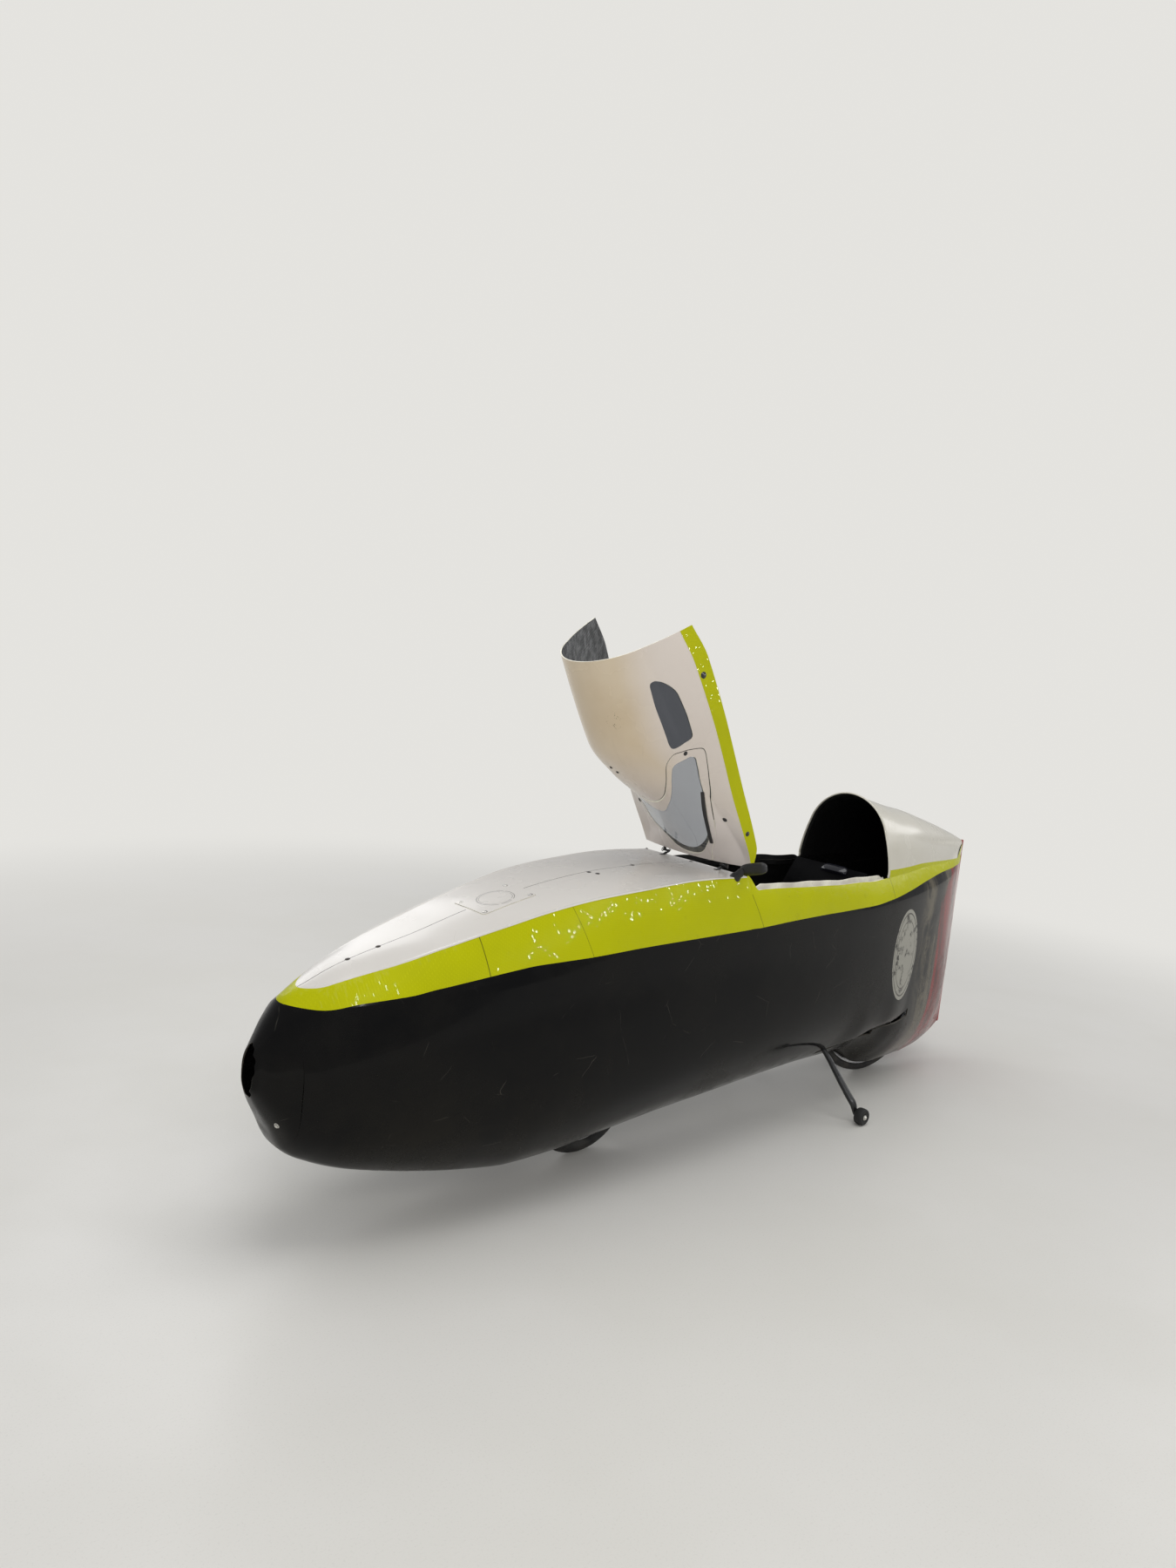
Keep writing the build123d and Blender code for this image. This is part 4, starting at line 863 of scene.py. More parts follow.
def set_floor():
    b = Build("studio_floor")
    x, y = b.axes()[:2]
    speckle = b.noise(240.0)
    tone = b.noise(1.4, 4.0)
    color = b.blend(b.band(tone, 0.3, 0.7), srgb(226, 224, 219), srgb(221, 219, 213))
    color = b.tint(color, (150, 146, 138), b.band(speckle, 0.55, 0.7), 0.08)
    b.set(color=color, rough=b.band(tone, 0.3, 0.7, 0.34, 0.46), specular=0.35,
          normal=b.bump(speckle, 0.05, 0.0004))
    far = b.node("ShaderNodeEmission", {"Color": BACKGROUND})
    share = b.band(b.hypot(x, y), 1.9, 4.6)
    fade = b.node("ShaderNodeMixShader", {0: share, 1: b.shader.outputs[0], 2: far})
    b.put(b.tree.nodes["Material Output"].inputs["Surface"], fade)
    rings = (0.8, 1.8, 3.5, 7.0, 14.0, 28.0, 60.0)
    verts = [(0.0, 0.0, 0.0)]
    verts += [(radius * math.cos(a), radius * math.sin(a), 0.0) for radius in rings for a in turns(64)]
    faces = [(0, 1 + i, 1 + (i + 1) % 64) for i in range(64)]
    faces += [tuple(v + 1 for v in f)[::-1] for f in grid_faces(len(rings), 64, close=True)]
    new_object("studio_floor", verts, faces, [b.material])


set_camera()
set_world()
set_floor()
set_lamps()


# Limits of the paint, sheets and cutters
def deck_limit(x):
    """Share of the half deck that is white: all of it but for the rounded tip at the nose."""
    t = min(max((x - 1.245) / 0.047, 0.0), 1.0)
    return math.sqrt(max(0.0, 1 - t * t))


def lime_limit(x):
    """Where the lime ends towards the black: at the band's foot, and over the nose in a rounded tip."""
    t = min(max((x - 1.236) / 0.096, 0.0), 1.0)
    return (2 - BLACK_OVER(x)) * max(0.0, 1 - t ** 3.2) ** 0.3125 if x < 1.332 else 0.0


def skin(x, k):
    return upper_point(x, k) if k < 2 else lower_point(x, k)


def sheet(name, xs, ks, point, signs, materials):
    """Sheet of both or one half: xs run forward, ks(x) run outward from the centre."""
    verts, faces = [], []
    for sign in signs:
        first = len(verts)
        for x in xs:
            verts += [mirrored(Vector(point(x, k)), sign) for k in ks(x)]
        grid = grid_faces(len(xs), len(ks(xs[0])))
        faces += [tuple(v + first for v in (f[::-1] if sign > 0 else f)) for f in grid]
    obj = new_object(name, verts, faces, materials)
    bm = bmesh.new()
    bm.from_mesh(obj.data)
    bmesh.ops.remove_doubles(bm, verts=bm.verts, dist=4e-5)
    bmesh.ops.dissolve_degenerate(bm, edges=bm.edges, dist=1e-6)
    bm.to_mesh(obj.data)
    bm.free()
    return obj


def slab(name, low_ring, high_ring):
    """Solid cutter between two outlines of as many points, its cuts in slot 2."""
    count = len(low_ring)
    faces = [tuple(range(count)), tuple(range(2 * count - 1, count - 1, -1))]
    faces += [(i, i + count, (i + 1) % count + count, (i + 1) % count) for i in range(count)]
    obj = outward(new_object(name, low_ring + high_ring, faces, [None] * 3))
    obj.data.polygons.foreach_set("material_index", [2] * len(faces))
    obj.data.polygons.foreach_set("use_smooth", [False] * len(faces))
    return obj


def prism(name, points, low, high, plane):
    """Solid cutter: an outline seen along one axis, from low to high along that axis."""
    at = {"x": lambda p, level: (level, *p), "y": lambda p, level: (p[0], level, p[1]),
          "z": lambda p, level: (*p, level)}[plane]
    return slab(name, *([at(p, level) for p in points] for level in (low, high)))


def rounded(points, radius):
    """Outline with its corners rounded."""
    out = []
    count = len(points)
    for i in range(count):
        before, here, after = (Vector(points[j % count]) for j in (i - 1, i, i + 1))
        a, b = before - here, after - here
        p = here + a.normalized() * min(radius, 0.45 * a.length)
        q = here + b.normalized() * min(radius, 0.45 * b.length)
        for t in (0.0, 0.2, 0.4, 0.6, 0.8, 1.0):
            out.append(tuple(p * (1 - t) ** 2 + here * (2 * t * (1 - t)) + q * t * t))
    return out


def grown(points, by, front=None):
    """Outline moved outward by a distance, by another one where the canopy runs flat in front."""
    area = sum(p[0] * q[1] - q[0] * p[1] for p, q in zip(points, points[1:] + points[:1]))
    turn = 1 if area > 0 else -1
    out = []
    for i, (u, v) in enumerate(points):
        run = Vector(points[(i + 1) % len(points)]) - Vector(points[i - 1])
        side = Vector((run.y, -run.x)).normalized() * turn
        off = by if front is None else mix(by, front, smooth(-0.12, -0.06, u))
        out.append((u + side.x * off, v + side.y * off))
    return out


def circle(x, z, radius, count=96):
    return [(x + radius * math.cos(a), z + radius * math.sin(a)) for a in turns(count)]


FRONT_AT, FRONT_R = (0.408, 0.180), 0.180
REAR_AT, REAR_R = (-0.940, 0.336), 0.336
# Room round the wheels, and half the width of each opening in the hull
WHEEL_GAP = 0.009
FRONT_HALF, REAR_HALF, FAIRING_HALF = 0.052, 0.023, 0.2
# Slot of the side leg, and the pocket beside it for the bent leg: angles, reach from the pivot, levels
SLOT = (-14.0, 84.0), 0.430, (-0.0125, 0.0125)
POCKET = (53.0, 73.0), 0.262, (-0.036, 0.0)


def leg_wedge(sign, angles, reach, levels):
    """Room that the side leg sweeps through between two angles as it folds."""
    side = FOLD_AXIS.cross(LEG_RUN).normalized()
    arc = [math.radians(angle) for angle in spread(*angles, 13)]
    outline = [(-0.030, -0.020)]
    outline += [(reach * math.cos(a), reach * math.sin(a)) for a in arc]
    outline.append((-0.030, 0.020))
    return slab("leg_room", *([mirrored(LEG_TOP + LEG_RUN * u + side * v + FOLD_AXIS * level, sign)
                               for u, v in outline] for level in levels))


# Hull
HULL_XS = stations((TAIL_X * MM, -0.92, 0.012), (-0.92, -0.42, 0.008), (-0.42, 0.006, 0.014),
                   (0.006, 0.070, 0.004), (0.070, 1.23, 0.014), (1.23, 1.32, 0.003))
LOWER_KS = spread(2, 3, 13)[1:] + spread(3, 4, 30)[1:] + spread(4, 5, 13)[1:]
FAIRING_CUT = [(-0.640, 0.070), (-0.695, 0.094), (-0.745, 0.080), (-0.796, 0.062), (-0.860, 0.045),
               (-0.911, 0.039), (-0.960, 0.041), (-1.010, 0.047), (-1.060, 0.052), (-1.100, 0.047),
               (-1.140, 0.034), (-1.170, 0.010), (-1.180, -0.02), (-0.640, -0.02)]


def hull_ks(x):
    start = lime_limit(x)
    return [mix(start, 2.0, i / 6) for i in range(7)] + LOWER_KS


def hull_point(x, k):
    y, z = skin(x, k)
    return lipped(x, max(y, 0.0), z)


front_room = prism("front_room", circle(*FRONT_AT, FRONT_R + WHEEL_GAP), -FRONT_HALF, FRONT_HALF, "y")
fairing_room = prism("fairing_room", FAIRING_CUT, -FAIRING_HALF, FAIRING_HALF, "y")
rear_room = prism("rear_room", circle(*REAR_AT, REAR_R + WHEEL_GAP, 128), -REAR_HALF, REAR_HALF, "y")
for side_name, sign in SIDES:
    hull = sheet("hull_" + side_name, HULL_XS, hull_ks, hull_point, (sign,), [BLACK, INSIDE, BLACK_EDGE])
    leg_rooms = [leg_wedge(sign, *room) for room in (SLOT, POCKET)]
    bake(cut(thicken(hull), front_room, rear_room, fairing_room, *leg_rooms))
    remove(*leg_rooms)
    place(hull, "hull", "lower_hull_" + side_name, slot="black_gloss")
remove(front_room, rear_room, fairing_room)


def nose_point(x, k):
    """Black nose with a soft dent on its left side."""
    y, z = skin(x, k)
    dent = 0.006 * math.exp(-(((x - 1.335) / 0.020) ** 2 + ((z - 0.36) / 0.060) ** 2))
    return x, max(y - dent * smooth(0.0, 0.02, y), 0.0), z


# Air intake: a tall hole with a ragged edge, cut through the tip of the nose
INTAKE = []
for turn in turns(72):
    ragged = 1 + 0.035 * math.sin(5 * turn + 0.6) + 0.022 * math.sin(13 * turn)
    INTAKE.append((-0.006 + 0.037 * ragged * math.cos(turn), 0.399 + 0.058 * ragged * math.sin(turn)))
intake_room = prism("intake_room", INTAKE, 1.33, 1.45, "x")
NOSE_XS = stations((1.32, 1.334, 0.002), (1.334, 1.398, 0.004))
nose = sheet("nose", NOSE_XS, hull_ks, nose_point, (1, -1), [BLACK, INSIDE, BLACK_EDGE])
bake(cut(thicken(nose, 0.0035), intake_room))
remove(intake_room)
place(nose, "hull", "nose_shell", slot="black_gloss")


# Lime band and deck
def lime_ks(x):
    return [mix(deck_limit(x), lime_limit(x), i / 14) for i in range(15)]


LIME_XS = [x for x in HULL_XS if x < 1.23] + stations((1.23, 1.332, 0.002))
for side_name, sign in SIDES:
    band = sheet("lime_" + side_name, LIME_XS, lime_ks, lambda x, k: (x, *upper_point(x, k)), (sign,),
                 [LIME, INSIDE, WHITE_EDGE])
    bake(thicken(band, rim=1))
    place(band, "hull", "lime_band_" + side_name, slot="lime_sheet")


def deck_point(x, k, raised=0.0):
    """Deck skin; k past 1 turns its edge down over the lime."""
    within = min(k, 1.0)
    y, z = upper_point(x, within * deck_limit(x))
    proud = 0.0016 * smooth_down(1.25, 0.95, x) * smooth(0.072, 0.2, x) * smooth(0.955, 0.99, within)
    lean = smooth(0.9, 1.0, within)
    over = max(k - 1.0, 0.0) / 0.02
    y, z = y + (proud + raised) * 0.45 * lean, z + (proud + raised) * mix(1.0, 0.8, lean)
    return x, y + 0.0015 * over, z - 0.0028 * over


DECK_XS = stations((0.0605, 0.080, 0.003), (0.080, 1.235, 0.012), (1.235, 1.292, 0.002))
DECK_KS = spread(0, 0.9, 20) + spread(0.9, 1.0, 7)[1:] + [1.01, 1.02]
HATCH = rounded([(0.690, -0.062), (0.850, -0.062), (0.850, 0.062), (0.690, 0.062)], 0.012)
HATCH_XS = stations((0.680, 0.860, 0.006))
DECKING = [WHITE_DECK, INSIDE, WHITE_EDGE]
hatch_room, plate_room = (prism("room", line, 0.55, 0.90, "z") for line in (HATCH, grown(HATCH, -0.0013)))
deck = sheet("deck_skin", DECK_XS, lambda x: DECK_KS, deck_point, (1, -1), DECKING)
bake(cut(thicken(deck), hatch_room))
place(deck, "hull", "deck", slot="white_paint")
hatch = sheet("hatch_plate", HATCH_XS, lambda x: spread(0, 0.62, 14), lambda x, k: deck_point(x, k, 0.0012),
              (1, -1), DECKING)
bake(keep_in(thicken(hatch, 0.003), plate_room))
remove(hatch_room, plate_room)
place(hatch, "hull", "deck_hatch", slot="white_paint")


# Hood with its lime foot and the bead around its mouth
def hood_point(x, k):
    sy, sz = SHOULDER_Y(x), SHOULDER_Z(x)
    if k <= 1:
        y, z = arc_to(sy, sz, HOOD_CROWN(x), k)
    else:
        y1, z1 = edge(x)
        t = k - 1
        bulge = 0.035 * math.hypot(y1 - sy, z1 - sz) * 4 * t * (1 - t)
        y, z = mix(sy, y1, t) + bulge, mix(sz, z1, t) + 0.25 * bulge
    lip = 0.0032 * smooth(-0.680, -0.674, x) * smooth_down(2.0, 1.85, k)
    out = Vector((y, z - 0.80 if z > 0.80 else 0.0)).normalized() if y > 1e-6 or z > 0.8 else Vector((0, 1))
    return x, y + lip * out.x, z + lip * out.y


def hood_lime(x):
    """Share k past which lime covers the foot of the hood: a strip that tapers towards the tail."""
    y1, z1 = edge(x)
    rise = 0.024 * min(max((x + 1.36) / 0.70, 0.0), 1.0)
    return 2 - max(rise, 0.0002) / math.hypot(SHOULDER_Y(x) - y1, SHOULDER_Z(x) - z1)


def hood_ks(x):
    return spread(0, 1, 18) + spread(1, hood_lime(x), 12)[1:] + spread(hood_lime(x), 2, 3)[1:]


HOOD_XS = stations((TAIL_X * MM, -0.69, 0.012), (-0.69, -0.664, 0.002))
hood = sheet("hood_skin", HOOD_XS, hood_ks, hood_point, (1, -1), [WHITE, INSIDE, WHITE_EDGE, LIME])
for polygon in hood.data.polygons:
    middle = polygon.center
    shoulder = SHOULDER_Z(middle.x)
    if middle.z < min(shoulder, mix(shoulder, edge(middle.x)[1], hood_lime(middle.x) - 1)):
        polygon.material_index = 3
bake(thicken(hood, 0.0035, rim=1))
for polygon in hood.data.polygons:
    if polygon.material_index == 3 and polygon.normal.dot(Vector((0, polygon.center.y, 0.04))) < 0:
        polygon.material_index = 1
mouth = [Vector(hood_point(-0.6675, k)) for k in spread(0, 2, 40)]
mouth = [mirrored(p, -1) for p in mouth[:0:-1]] + mouth
bead = ribbon("hood_bead", mouth, 0.0048, 0.0026,
              lambda p: Vector((0, p.y, max(p.z - 0.80, 0.0) + 0.001)), [WHITE])
place(bead, "hull", slot="white_paint")
place(hood, "hull", "hood", slot="white_paint")

# Coaming strips along both sides of the cockpit, white outside and dark inside
for side_name, sign in SIDES:
    verts, xs = [], stations((-0.655, 0.028, 0.014))
    for x in xs:
        y0, z0 = edge(min(x, 0.013))
        y, low = y0 - 0.0125, z0 - 0.004
        wave = 0.0011 * math.sin(23 * x + sign) + 0.0008 * math.sin(51 * x)
        high = z0 + 0.0125 * smooth(-0.655, -0.62, x) * smooth_down(0.028, 0.0, x) + wave
        ring = ((y + 0.008, low - 0.018), (y + 0.0075, low), (y + 0.001, low + 0.001), (y, low + 0.006),
                (y, high - 0.0008), (y - 0.0008, high), (y - 0.0022, high), (y - 0.003, high - 0.0008),
                (y - 0.003, low), (y + 0.004, low - 0.003), (y + 0.005, low - 0.018))
        verts += [(x, sign * a, b) for a, b in ring]
    faces = grid_faces(len(xs), 11, close=True)
    faces += [tuple(range(11)), tuple(range(len(verts) - 1, len(verts) - 12, -1))]
    strip = new_object("coaming_" + side_name, verts, faces, [WHITE_EDGE, INSIDE], flip=sign < 0, sharp=40)
    for polygon in strip.data.polygons:
        if polygon.normal.y * sign < -0.5:
            polygon.material_index = 1
    place(strip, "hull", "cockpit_coaming", slot="white_paint")

# Canopy, built closed and turned open
CAN = curves(CANOPY)
TURN_OPEN = Matrix.Translation(HINGE) @ Matrix.Rotation(OPEN, 4, "Y") @ Matrix.Translation(-HINGE)
CANOPY_XS = stations((-0.656, 0.050, 0.009))
ARCH_KS = spread(0, 1, 26) + spread(1, 2, 14)[1:]


def on_canopy(obj, *nodes, slot):
    """Turns a piece that was built on the closed canopy open, and fixes it there."""
    obj.data.transform(TURN_OPEN)
    place(obj, "canopy", *nodes, slot=slot)


def canopy_point(x, k, out=0.0):
    """Closed canopy: k 0 at the crown, 1 at the shoulder, 2 at the lime strip, 3 at its lower edge."""
    base_y, base_z, low_y, low_z, sy, sz, crown = (curve(x) for curve in CAN)
    if k <= 1:
        y, z = arc_to(sy, sz, crown, k)
    elif k <= 2:
        t = k - 1
        bulge = 0.03 * math.hypot(low_y - sy, low_z - sz) * 4 * t * (1 - t)
        y, z = mix(sy, low_y, t) + bulge, mix(sz, low_z, t) + 0.2 * bulge
    else:
        y, z = mix(low_y, base_y, k - 2), mix(low_z, base_z, k - 2)
    if out:
        side = Vector((y, max(z - sz, 0.0) * 1.2 + 1e-6)).normalized()
        y, z = max(y + out * side.x, 0.0), z + out * side.y
    return x, y, z


def arch(name, materials, out=0.0, wall=0.003, ks=ARCH_KS):
    obj = sheet(name, CANOPY_XS, lambda x: ks, lambda x, k: canopy_point(x, k, out), (1, -1), materials)
    return thicken(obj, wall)


def side_cutter(points, by=0.0, front=None):
    return prism("side_cutter", grown(points, by, front), -0.3, 0.3, "y")


screen_line = rounded(WINDSCREEN, 0.016)
frame_line = rounded(SCREEN_FRAME, 0.018)
window_line = rounded(SIDE_WINDOW, 0.012)
PAINTED = [WHITE_CANOPY, CANOPY_INSIDE, WHITE_EDGE]
# Distance from the shell's outer face, and thickness
PANE, GAP_SHADE, STRIP = (-0.0006, 0.0022), (-0.0016, 0.0016), (0.0004, 0.0028)
shell = cut(arch("canopy_skin", PAINTED), side_cutter(frame_line), side_cutter(window_line))
screen_frame = keep_in(arch("screen_frame", PAINTED), side_cutter(frame_line, -0.0022, -0.0003))
cut(screen_frame, side_cutter(screen_line, 0.0008, 0.0))
# Dark strip just under the shell, seen through the gap round the screen frame: painted shade that makes the
# gap look dark
gap_shade_strip = keep_in(arch("frame_gap_shade", [FOAM] * 3, *GAP_SHADE), side_cutter(frame_line, 0.0020))
cut(gap_shade_strip, side_cutter(frame_line, -0.0032, 0.0060))
screen = keep_in(arch("screen_pane", [PANE_FRONT, PANE_FRONT, PANE_EDGE], *PANE),
                 side_cutter(screen_line))
windows = keep_in(arch("window_panes", [PANE_SIDE] * 3, *PANE),
                  side_cutter(window_line, -0.0004))
strips = arch("canopy_lime", [LIME_CANOPY, CANOPY_INSIDE, WHITE_EDGE], *STRIP, spread(2, 3, 8))
# Piece, nodes it stands for, slot
CANOPY_PIECES = (
    (shell, ("canopy_shell",), "white_paint"),
    (screen_frame, ("windscreen_frame",), "white_paint"),
    (screen, ("windscreen",), "smoked_pane"),
    (windows, ("side_windows",), "smoked_pane"),
    (strips, ("canopy_band",), "lime_sheet"),
    (gap_shade_strip, (), "dark_plastic"),
)
for obj, nodes, slot in CANOPY_PIECES:
    cutters = [mod.object for mod in obj.modifiers if mod.type == "BOOLEAN"]
    on_canopy(bake(obj), *nodes, slot=slot)
    remove(*cutters)


# Fasteners
def surface_at(point, x, k, sign):
    """Point and outward normal of a shell at station x and share k."""
    here = Vector(point(x, k))
    normal = (Vector(point(x + 0.004, k)) - here).cross(Vector(point(x, k + 0.02)) - here).normalized()
    if normal.dot(Vector((0, here.y, here.z - (0.80 if here.z > 0.8 else 0.4) + 1e-4))) < 0:
        normal = -normal
    return mirrored(here, sign), mirrored(normal, sign)


def screw(at, normal, radius, height, material, washer):
    """Low round head on a washer."""
    steps = [math.pi / 2 * i / 5 for i in range(5)]
    profile = [(radius + washer, 0.0), (radius + washer, 0.0008), (radius, 0.001)]
    profile += [(radius * math.cos(a), height * (0.35 + 0.65 * math.sin(a))) for a in steps]
    profile.append((0.0005, height))
    return lathe("screw", profile, at - normal * 0.0004, normal, [material], 20)


# Deck screws: station x, share k of the half deck, side
DECK_SCREWS = ((1.172, 0.0, 1), (1.095, 0.0, 1), (0.474, 0.04, 1), (0.465, 0.164, 1), (0.308, 0.0, 1),
               (0.074, 0.0, 1))
# Canopy bolts: station x, share k, radius; the first four on both sides, the others on the right
CANOPY_BOLTS = ((-0.524, 2.3, 0.0075), (-0.341, 0.966, 0.0045), (-0.103, 1.08, 0.0055),
                (-0.052, 2.38, 0.0055), (-0.335, 0.08, 0.0035), (-0.318, 0.03, 0.0035))
deck_screws = [screw(*surface_at(deck_point, *where), 0.0042, 0.0020, FASTENER, 0.002)
               for where in DECK_SCREWS]
for x in (0.702, 0.838):
    for side_name, sign in SIDES:
        where = surface_at(lambda a, b: deck_point(a, b, 0.0012), x, 0.050 / edge(x)[0], sign)
        deck_screws.append(screw(*where, 0.0045, 0.0022, BRIGHT, 0.0025))
place(joined("deck_screws", deck_screws), "hull", slot="steel")
bolts = []
for sign, rows in ((1, CANOPY_BOLTS[:4]), (-1, CANOPY_BOLTS)):
    bolts += [screw(*surface_at(canopy_point, x, k, sign), radius, 0.0032, SATIN_BLACK, 0.0015)
              for x, k, radius in rows]
on_canopy(joined("canopy_bolts", bolts), slot="black_metal")
at, normal = surface_at(hull_point, 1.3495, 3.86, 1)
NOSE_BOLT = ((0.0065, 0.0), (0.0065, 0.001), (0.0045, 0.0014), (0.0042, 0.0034), (0.0005, 0.0040))
place(lathe("nose_bolt", NOSE_BOLT, at - normal * 0.0006, normal, [BRIGHT], 24), "hull", slot="steel")

# Mirror on the left: head with its glass facing back, on a short arm
MIRROR_AT, MIRROR_FOOT = Vector((0.092, 0.240, 0.8195)), Vector((0.102, 0.190, 0.786))
MIRROR_HALF_Y, MIRROR_HALF_Z = 0.0435, 0.0165
MIRROR_ROLL = Matrix.Rotation(math.radians(16), 3, "X")
# Rings of the head: distance ahead of its middle, share of the full size
MIRROR_RINGS = ((0.0090, 0.30), (0.0086, 0.62), (0.0070, 0.84), (0.0040, 0.96), (0.0, 1.0), (-0.0060, 1.0),
                (-0.0082, 0.975), (-0.0090, 0.94), (-0.0086, 0.90), (-0.0070, 0.885))
verts = []
for ahead, scale in MIRROR_RINGS:
    for a in turns(40):
        across = squared(a, scale * MIRROR_HALF_Y, scale * MIRROR_HALF_Z, 0.62, 0.62)
        verts.append(MIRROR_AT + MIRROR_ROLL @ Vector((ahead, *across)))
head = new_object("mirror_head", verts, tube_faces(len(MIRROR_RINGS), 40), [PLASTIC, MIRROR_GLASS])
head.data.polygons[-1].material_index = 1
arm_run = MIRROR_AT + Vector((0.004, -0.030, -0.010)) - MIRROR_FOOT
ARM = [(0.0140, -0.008), (0.0148, 0.001), (0.0138, 0.0060), (0.0118, 0.010), (0.0112, 0.015)]
ARM += [(radius, arm_run.length + past)
        for radius, past in ((0.0112, -0.010), (0.0104, -0.004), (0.0070, 0.003))]
arm = lathe("mirror_arm", ARM, MIRROR_FOOT, arm_run, [PLASTIC], 24)
place(joined("mirror_left_dressed", [outward(head, 38), arm]), "hull", "mirror_left", slot="dark_plastic")


# Canopy hinges: slim leaves with wire loops over the joint line
LOOP_R, WIRE_R = 0.0052, 0.0011


def barrel(y, length, sign):
    profile = [(0.0026, 0.0), (0.0032, 0.0006), (0.0032, length - 0.0006), (0.0026, length)]
    return lathe("barrel", profile, (HINGE.x, sign * y, HINGE.z), (0, sign, 0), [SATIN_BLACK], 18)


def loop(y, start, end, sign):
    """Bent wire in the plane along the vehicle, from one angle to another."""
    points = [Vector((HINGE.x + LOOP_R * math.cos(a), sign * y, HINGE.z + LOOP_R * math.sin(a)))
              for a in spread(start, end, 11)]
    return ribbon("loop", points, WIRE_R, WIRE_R, (0, 1, 0), [FASTENER])


def leaf(y, half_width, low, high, height, sign):
    points = [Vector((x, sign * y, height(x))) for x in spread(low, high, 8)]
    return ribbon("leaf", points, half_width, 0.0009, (0, 0, 1), [SATIN_BLACK])


def deck_leaf_z(x):
    return deck_point(x, 0.106 / DECK_Y(x))[2] + 0.0006 + 0.006 * smooth_down(0.078, 0.062, x)


def canopy_leaf_z(x):
    return mix(0.7975, canopy_point(x, 0.120 / CAN[4](x))[2] - 0.0042, smooth_down(0.058, 0.044, x))


deck_side, canopy_side = [], []
for side_name, sign in SIDES:
    deck_side += [barrel(0.0998, 0.0128, sign), leaf(0.106, 0.0065, 0.061, 0.090, deck_leaf_z, sign),
                  loop(0.1005, -0.6, 2.9, sign)]
    canopy_side += [barrel(0.1134, 0.0126, sign), leaf(0.120, 0.0060, 0.024, 0.059, canopy_leaf_z, sign),
                    loop(0.1265, 0.4, 3.9, sign)]
place(joined("deck_hinge_leaves", deck_side), "hull", "deck_hinges", slot="black_metal")
on_canopy(joined("canopy_hinge_leaves", canopy_side), "canopy_hinges", slot="black_metal")
foam_path = [Vector(canopy_point(x, mix(0.93, 0.53, (x + 0.207) / 0.197), 0.0015))
             for x in spread(-0.207, -0.020, 14)]
on_canopy(ribbon("screen_foam", foam_path, 0.0052, 0.0022, lambda p: Vector((0, p.y * 4, 1.0)), [FOAM]),
          slot="dark_plastic")


# Side legs and castors
def swept(name, points, across_to, sizes, materials):
    """Tube of rounded square section along points; sizes give half width and half depth at each."""
    verts = []
    last = len(points) - 1
    for i, p in enumerate(points):
        run = (points[min(i + 1, last)] - points[max(i - 1, 0)]).normalized()
        u = (across_to - run * across_to.dot(run)).normalized()
        v = run.cross(u)
        for a in turns(20):
            du, dv = squared(a, *sizes[i], 0.55, 0.55)
            verts.append(p + u * du + v * dv)
    return outward(new_object(name, verts, tube_faces(len(points), 20), materials), 50)


CASTOR = Vector((-0.500, 0.301, 0.026))
KNEE, ANKLE = Vector((-0.497, 0.268, 0.056)), Vector((-0.500, 0.2795, 0.026))
# Leg path: down to the knee with a slight bow backward, round the knee and on to the ankle
LEG_PATH = [LEG_TOP.lerp(KNEE, t) + LEG_BACK * bow
            for t, bow in ((0.0, 0.0), (0.18, 0.009), (0.42, 0.009), (0.7, 0.003), (0.90, 0.0))]
BEND = (LEG_TOP.lerp(KNEE, 0.93), LEG_TOP.lerp(KNEE, 0.985), KNEE.lerp(ANKLE, 0.06), KNEE.lerp(ANKLE, 0.22))
LEG_PATH += [Vector(bezier(BEND, t)) for t in (0.0, 0.25, 0.5, 0.75, 1.0)]
LEG_PATH += [KNEE.lerp(ANKLE, t) for t in (0.5, 0.8, 1.0, 1.12)]
# Half width and half depth of the leg at each point of its path
LEG_SIZES = [(0.0064, 0.0062)] * 2 + [(0.0070, 0.0080), (0.0074, 0.0096), (0.0074, 0.0106)]
LEG_SIZES += [(0.0074, 0.0108)] * 3 + [(0.0066, 0.0104)] * 2 + [(0.0056, 0.0094), (0.0050, 0.0088)]
LEG_SIZES += [(0.0044, 0.0078), (0.0030, 0.0056)]
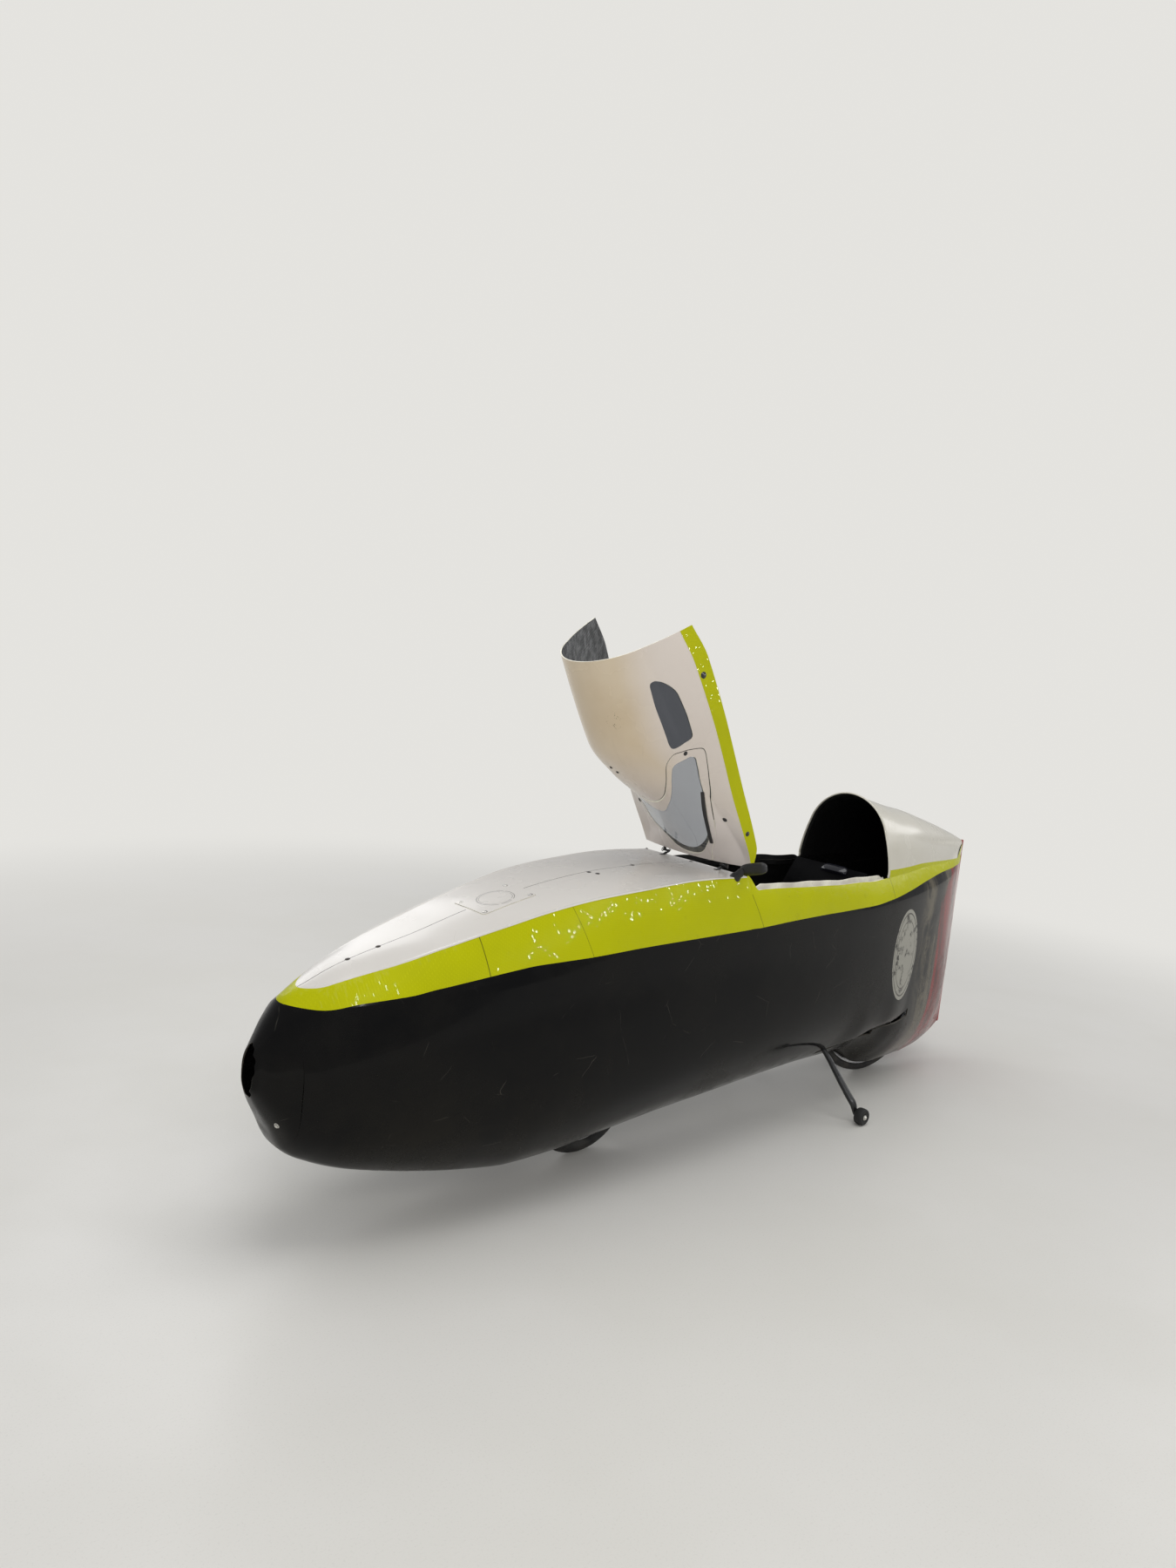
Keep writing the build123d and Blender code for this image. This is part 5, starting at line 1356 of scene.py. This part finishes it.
# Profiles turned about the axle: radius, distance outward
ROLLER = ((0.0060, 0.0012), (0.0160, 0.0012), (0.0185, 0.0), (0.0222, 0.0006), (0.0245, 0.0028),
          (0.0257, 0.0068), (0.0260, 0.0140), (0.0257, 0.0212), (0.0245, 0.0252), (0.0222, 0.0274),
          (0.0185, 0.0280), (0.0160, 0.0268), (0.0150, 0.0262), (0.0060, 0.0262))
ROLLER_BOLT = ((0.0078, 0.0262), (0.0078, 0.0270), (0.0062, 0.0275), (0.0060, 0.0290), (0.0050, 0.0306),
               (0.0030, 0.0315), (0.0004, 0.0318))
EYE = ((0.0090, 0.0), (0.0112, 0.0012), (0.0112, 0.0138), (0.0090, 0.0150))
for side_name, sign in SIDES:
    axis = mirrored(FOLD_AXIS, sign)
    tube = swept("leg_tube", [mirrored(p, sign) for p in LEG_PATH], axis, LEG_SIZES, [SATIN_BLACK])
    eye = lathe("leg_eye", EYE, mirrored(LEG_TOP, sign) - axis * 0.0075, axis, [SATIN_BLACK])
    pin = lathe("castor_pin", [(0.0040, -0.002), (0.0040, 0.0335), (0.0036, 0.0340)], mirrored(ANKLE, sign),
                (0, sign, 0), [STEEL], 18)
    leg = "leg_" + side_name
    place(joined("leg_tube_" + side_name, [tube, eye, pin]), leg, leg, slot="black_metal")
    start = mirrored(CASTOR - Vector((0, 0.014, 0)), sign)
    roller = lathe("roller", ROLLER, start, (0, sign, 0), [CASTOR_RUBBER], 40)
    bolt = lathe("bolt", ROLLER_BOLT, start, (0, sign, 0), [BRIGHT], 24)
    castor = "castor_" + side_name
    place(joined("castor_roller_" + side_name, [roller, bolt]), castor, castor, slot="castor_rubber")

# Headrest: a small hard pad, its upper face tilted forward
PAD_AT = Vector((-0.612, 0.020, 0.714))
PAD_UP, PAD_BACK = Vector((0.545, 0, 0.838)), Vector((-0.838, 0, 0.545))
PAD_HALF_Y, PAD_HALF_Z = 0.052, 0.036
# Rings of the pad: distance back from its middle, share of the full size
PAD_RINGS = ((-0.016, 0.30), (-0.016, 0.80), (-0.0145, 0.93), (-0.010, 1.0), (0.008, 1.0), (0.0135, 0.95),
             (0.016, 0.82), (0.016, 0.30))
verts = []
for out, scale in PAD_RINGS:
    for a in turns(36):
        across, up = squared(a, scale * PAD_HALF_Y, scale * PAD_HALF_Z, 0.4, 0.5)
        verts.append(PAD_AT + PAD_BACK * out + PAD_UP * up + Vector((0, across, 0)))
pad = new_object("headrest_pad", verts, tube_faces(len(PAD_RINGS), 36), [HEAD_BLOCK])
place(outward(pad, 40), "hull", "headrest", slot="seat_shell")

# Finishes of the inner parts, the wheels and the tail edge
KEPT = {
    "main_frame": FRAME_PAINT, "fork": FRAME_PAINT, "seat": SEAT_IN_PAINTED_SHADE,
    "front_chain": CHAIN, "rear_chain": CHAIN, "leg_brackets": SATIN_BLACK,
    "handlebar": ALLOY, "grips": GRIP, "front_rim": ALLOY, "front_hub": ALLOY, "rear_rim": ALLOY,
    "rear_hub": ALLOY, "crankset": ALLOY, "pedals": PLASTIC, "jackshaft": STEEL,
    "front_tyre": make_tyre("front_tyre_rubber", FRONT_AT, FRONT_R),
    "rear_tyre": make_tyre("rear_tyre_rubber", REAR_AT, REAR_R), "tail_edge": RED,
}
for node, material in KEPT.items():
    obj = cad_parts[node]
    if not obj.material_slots:
        obj.data.materials.append(material)
    for material_slot in obj.material_slots:
        material_slot.material = material

bpy.context.scene.view_settings.view_transform = "Standard"
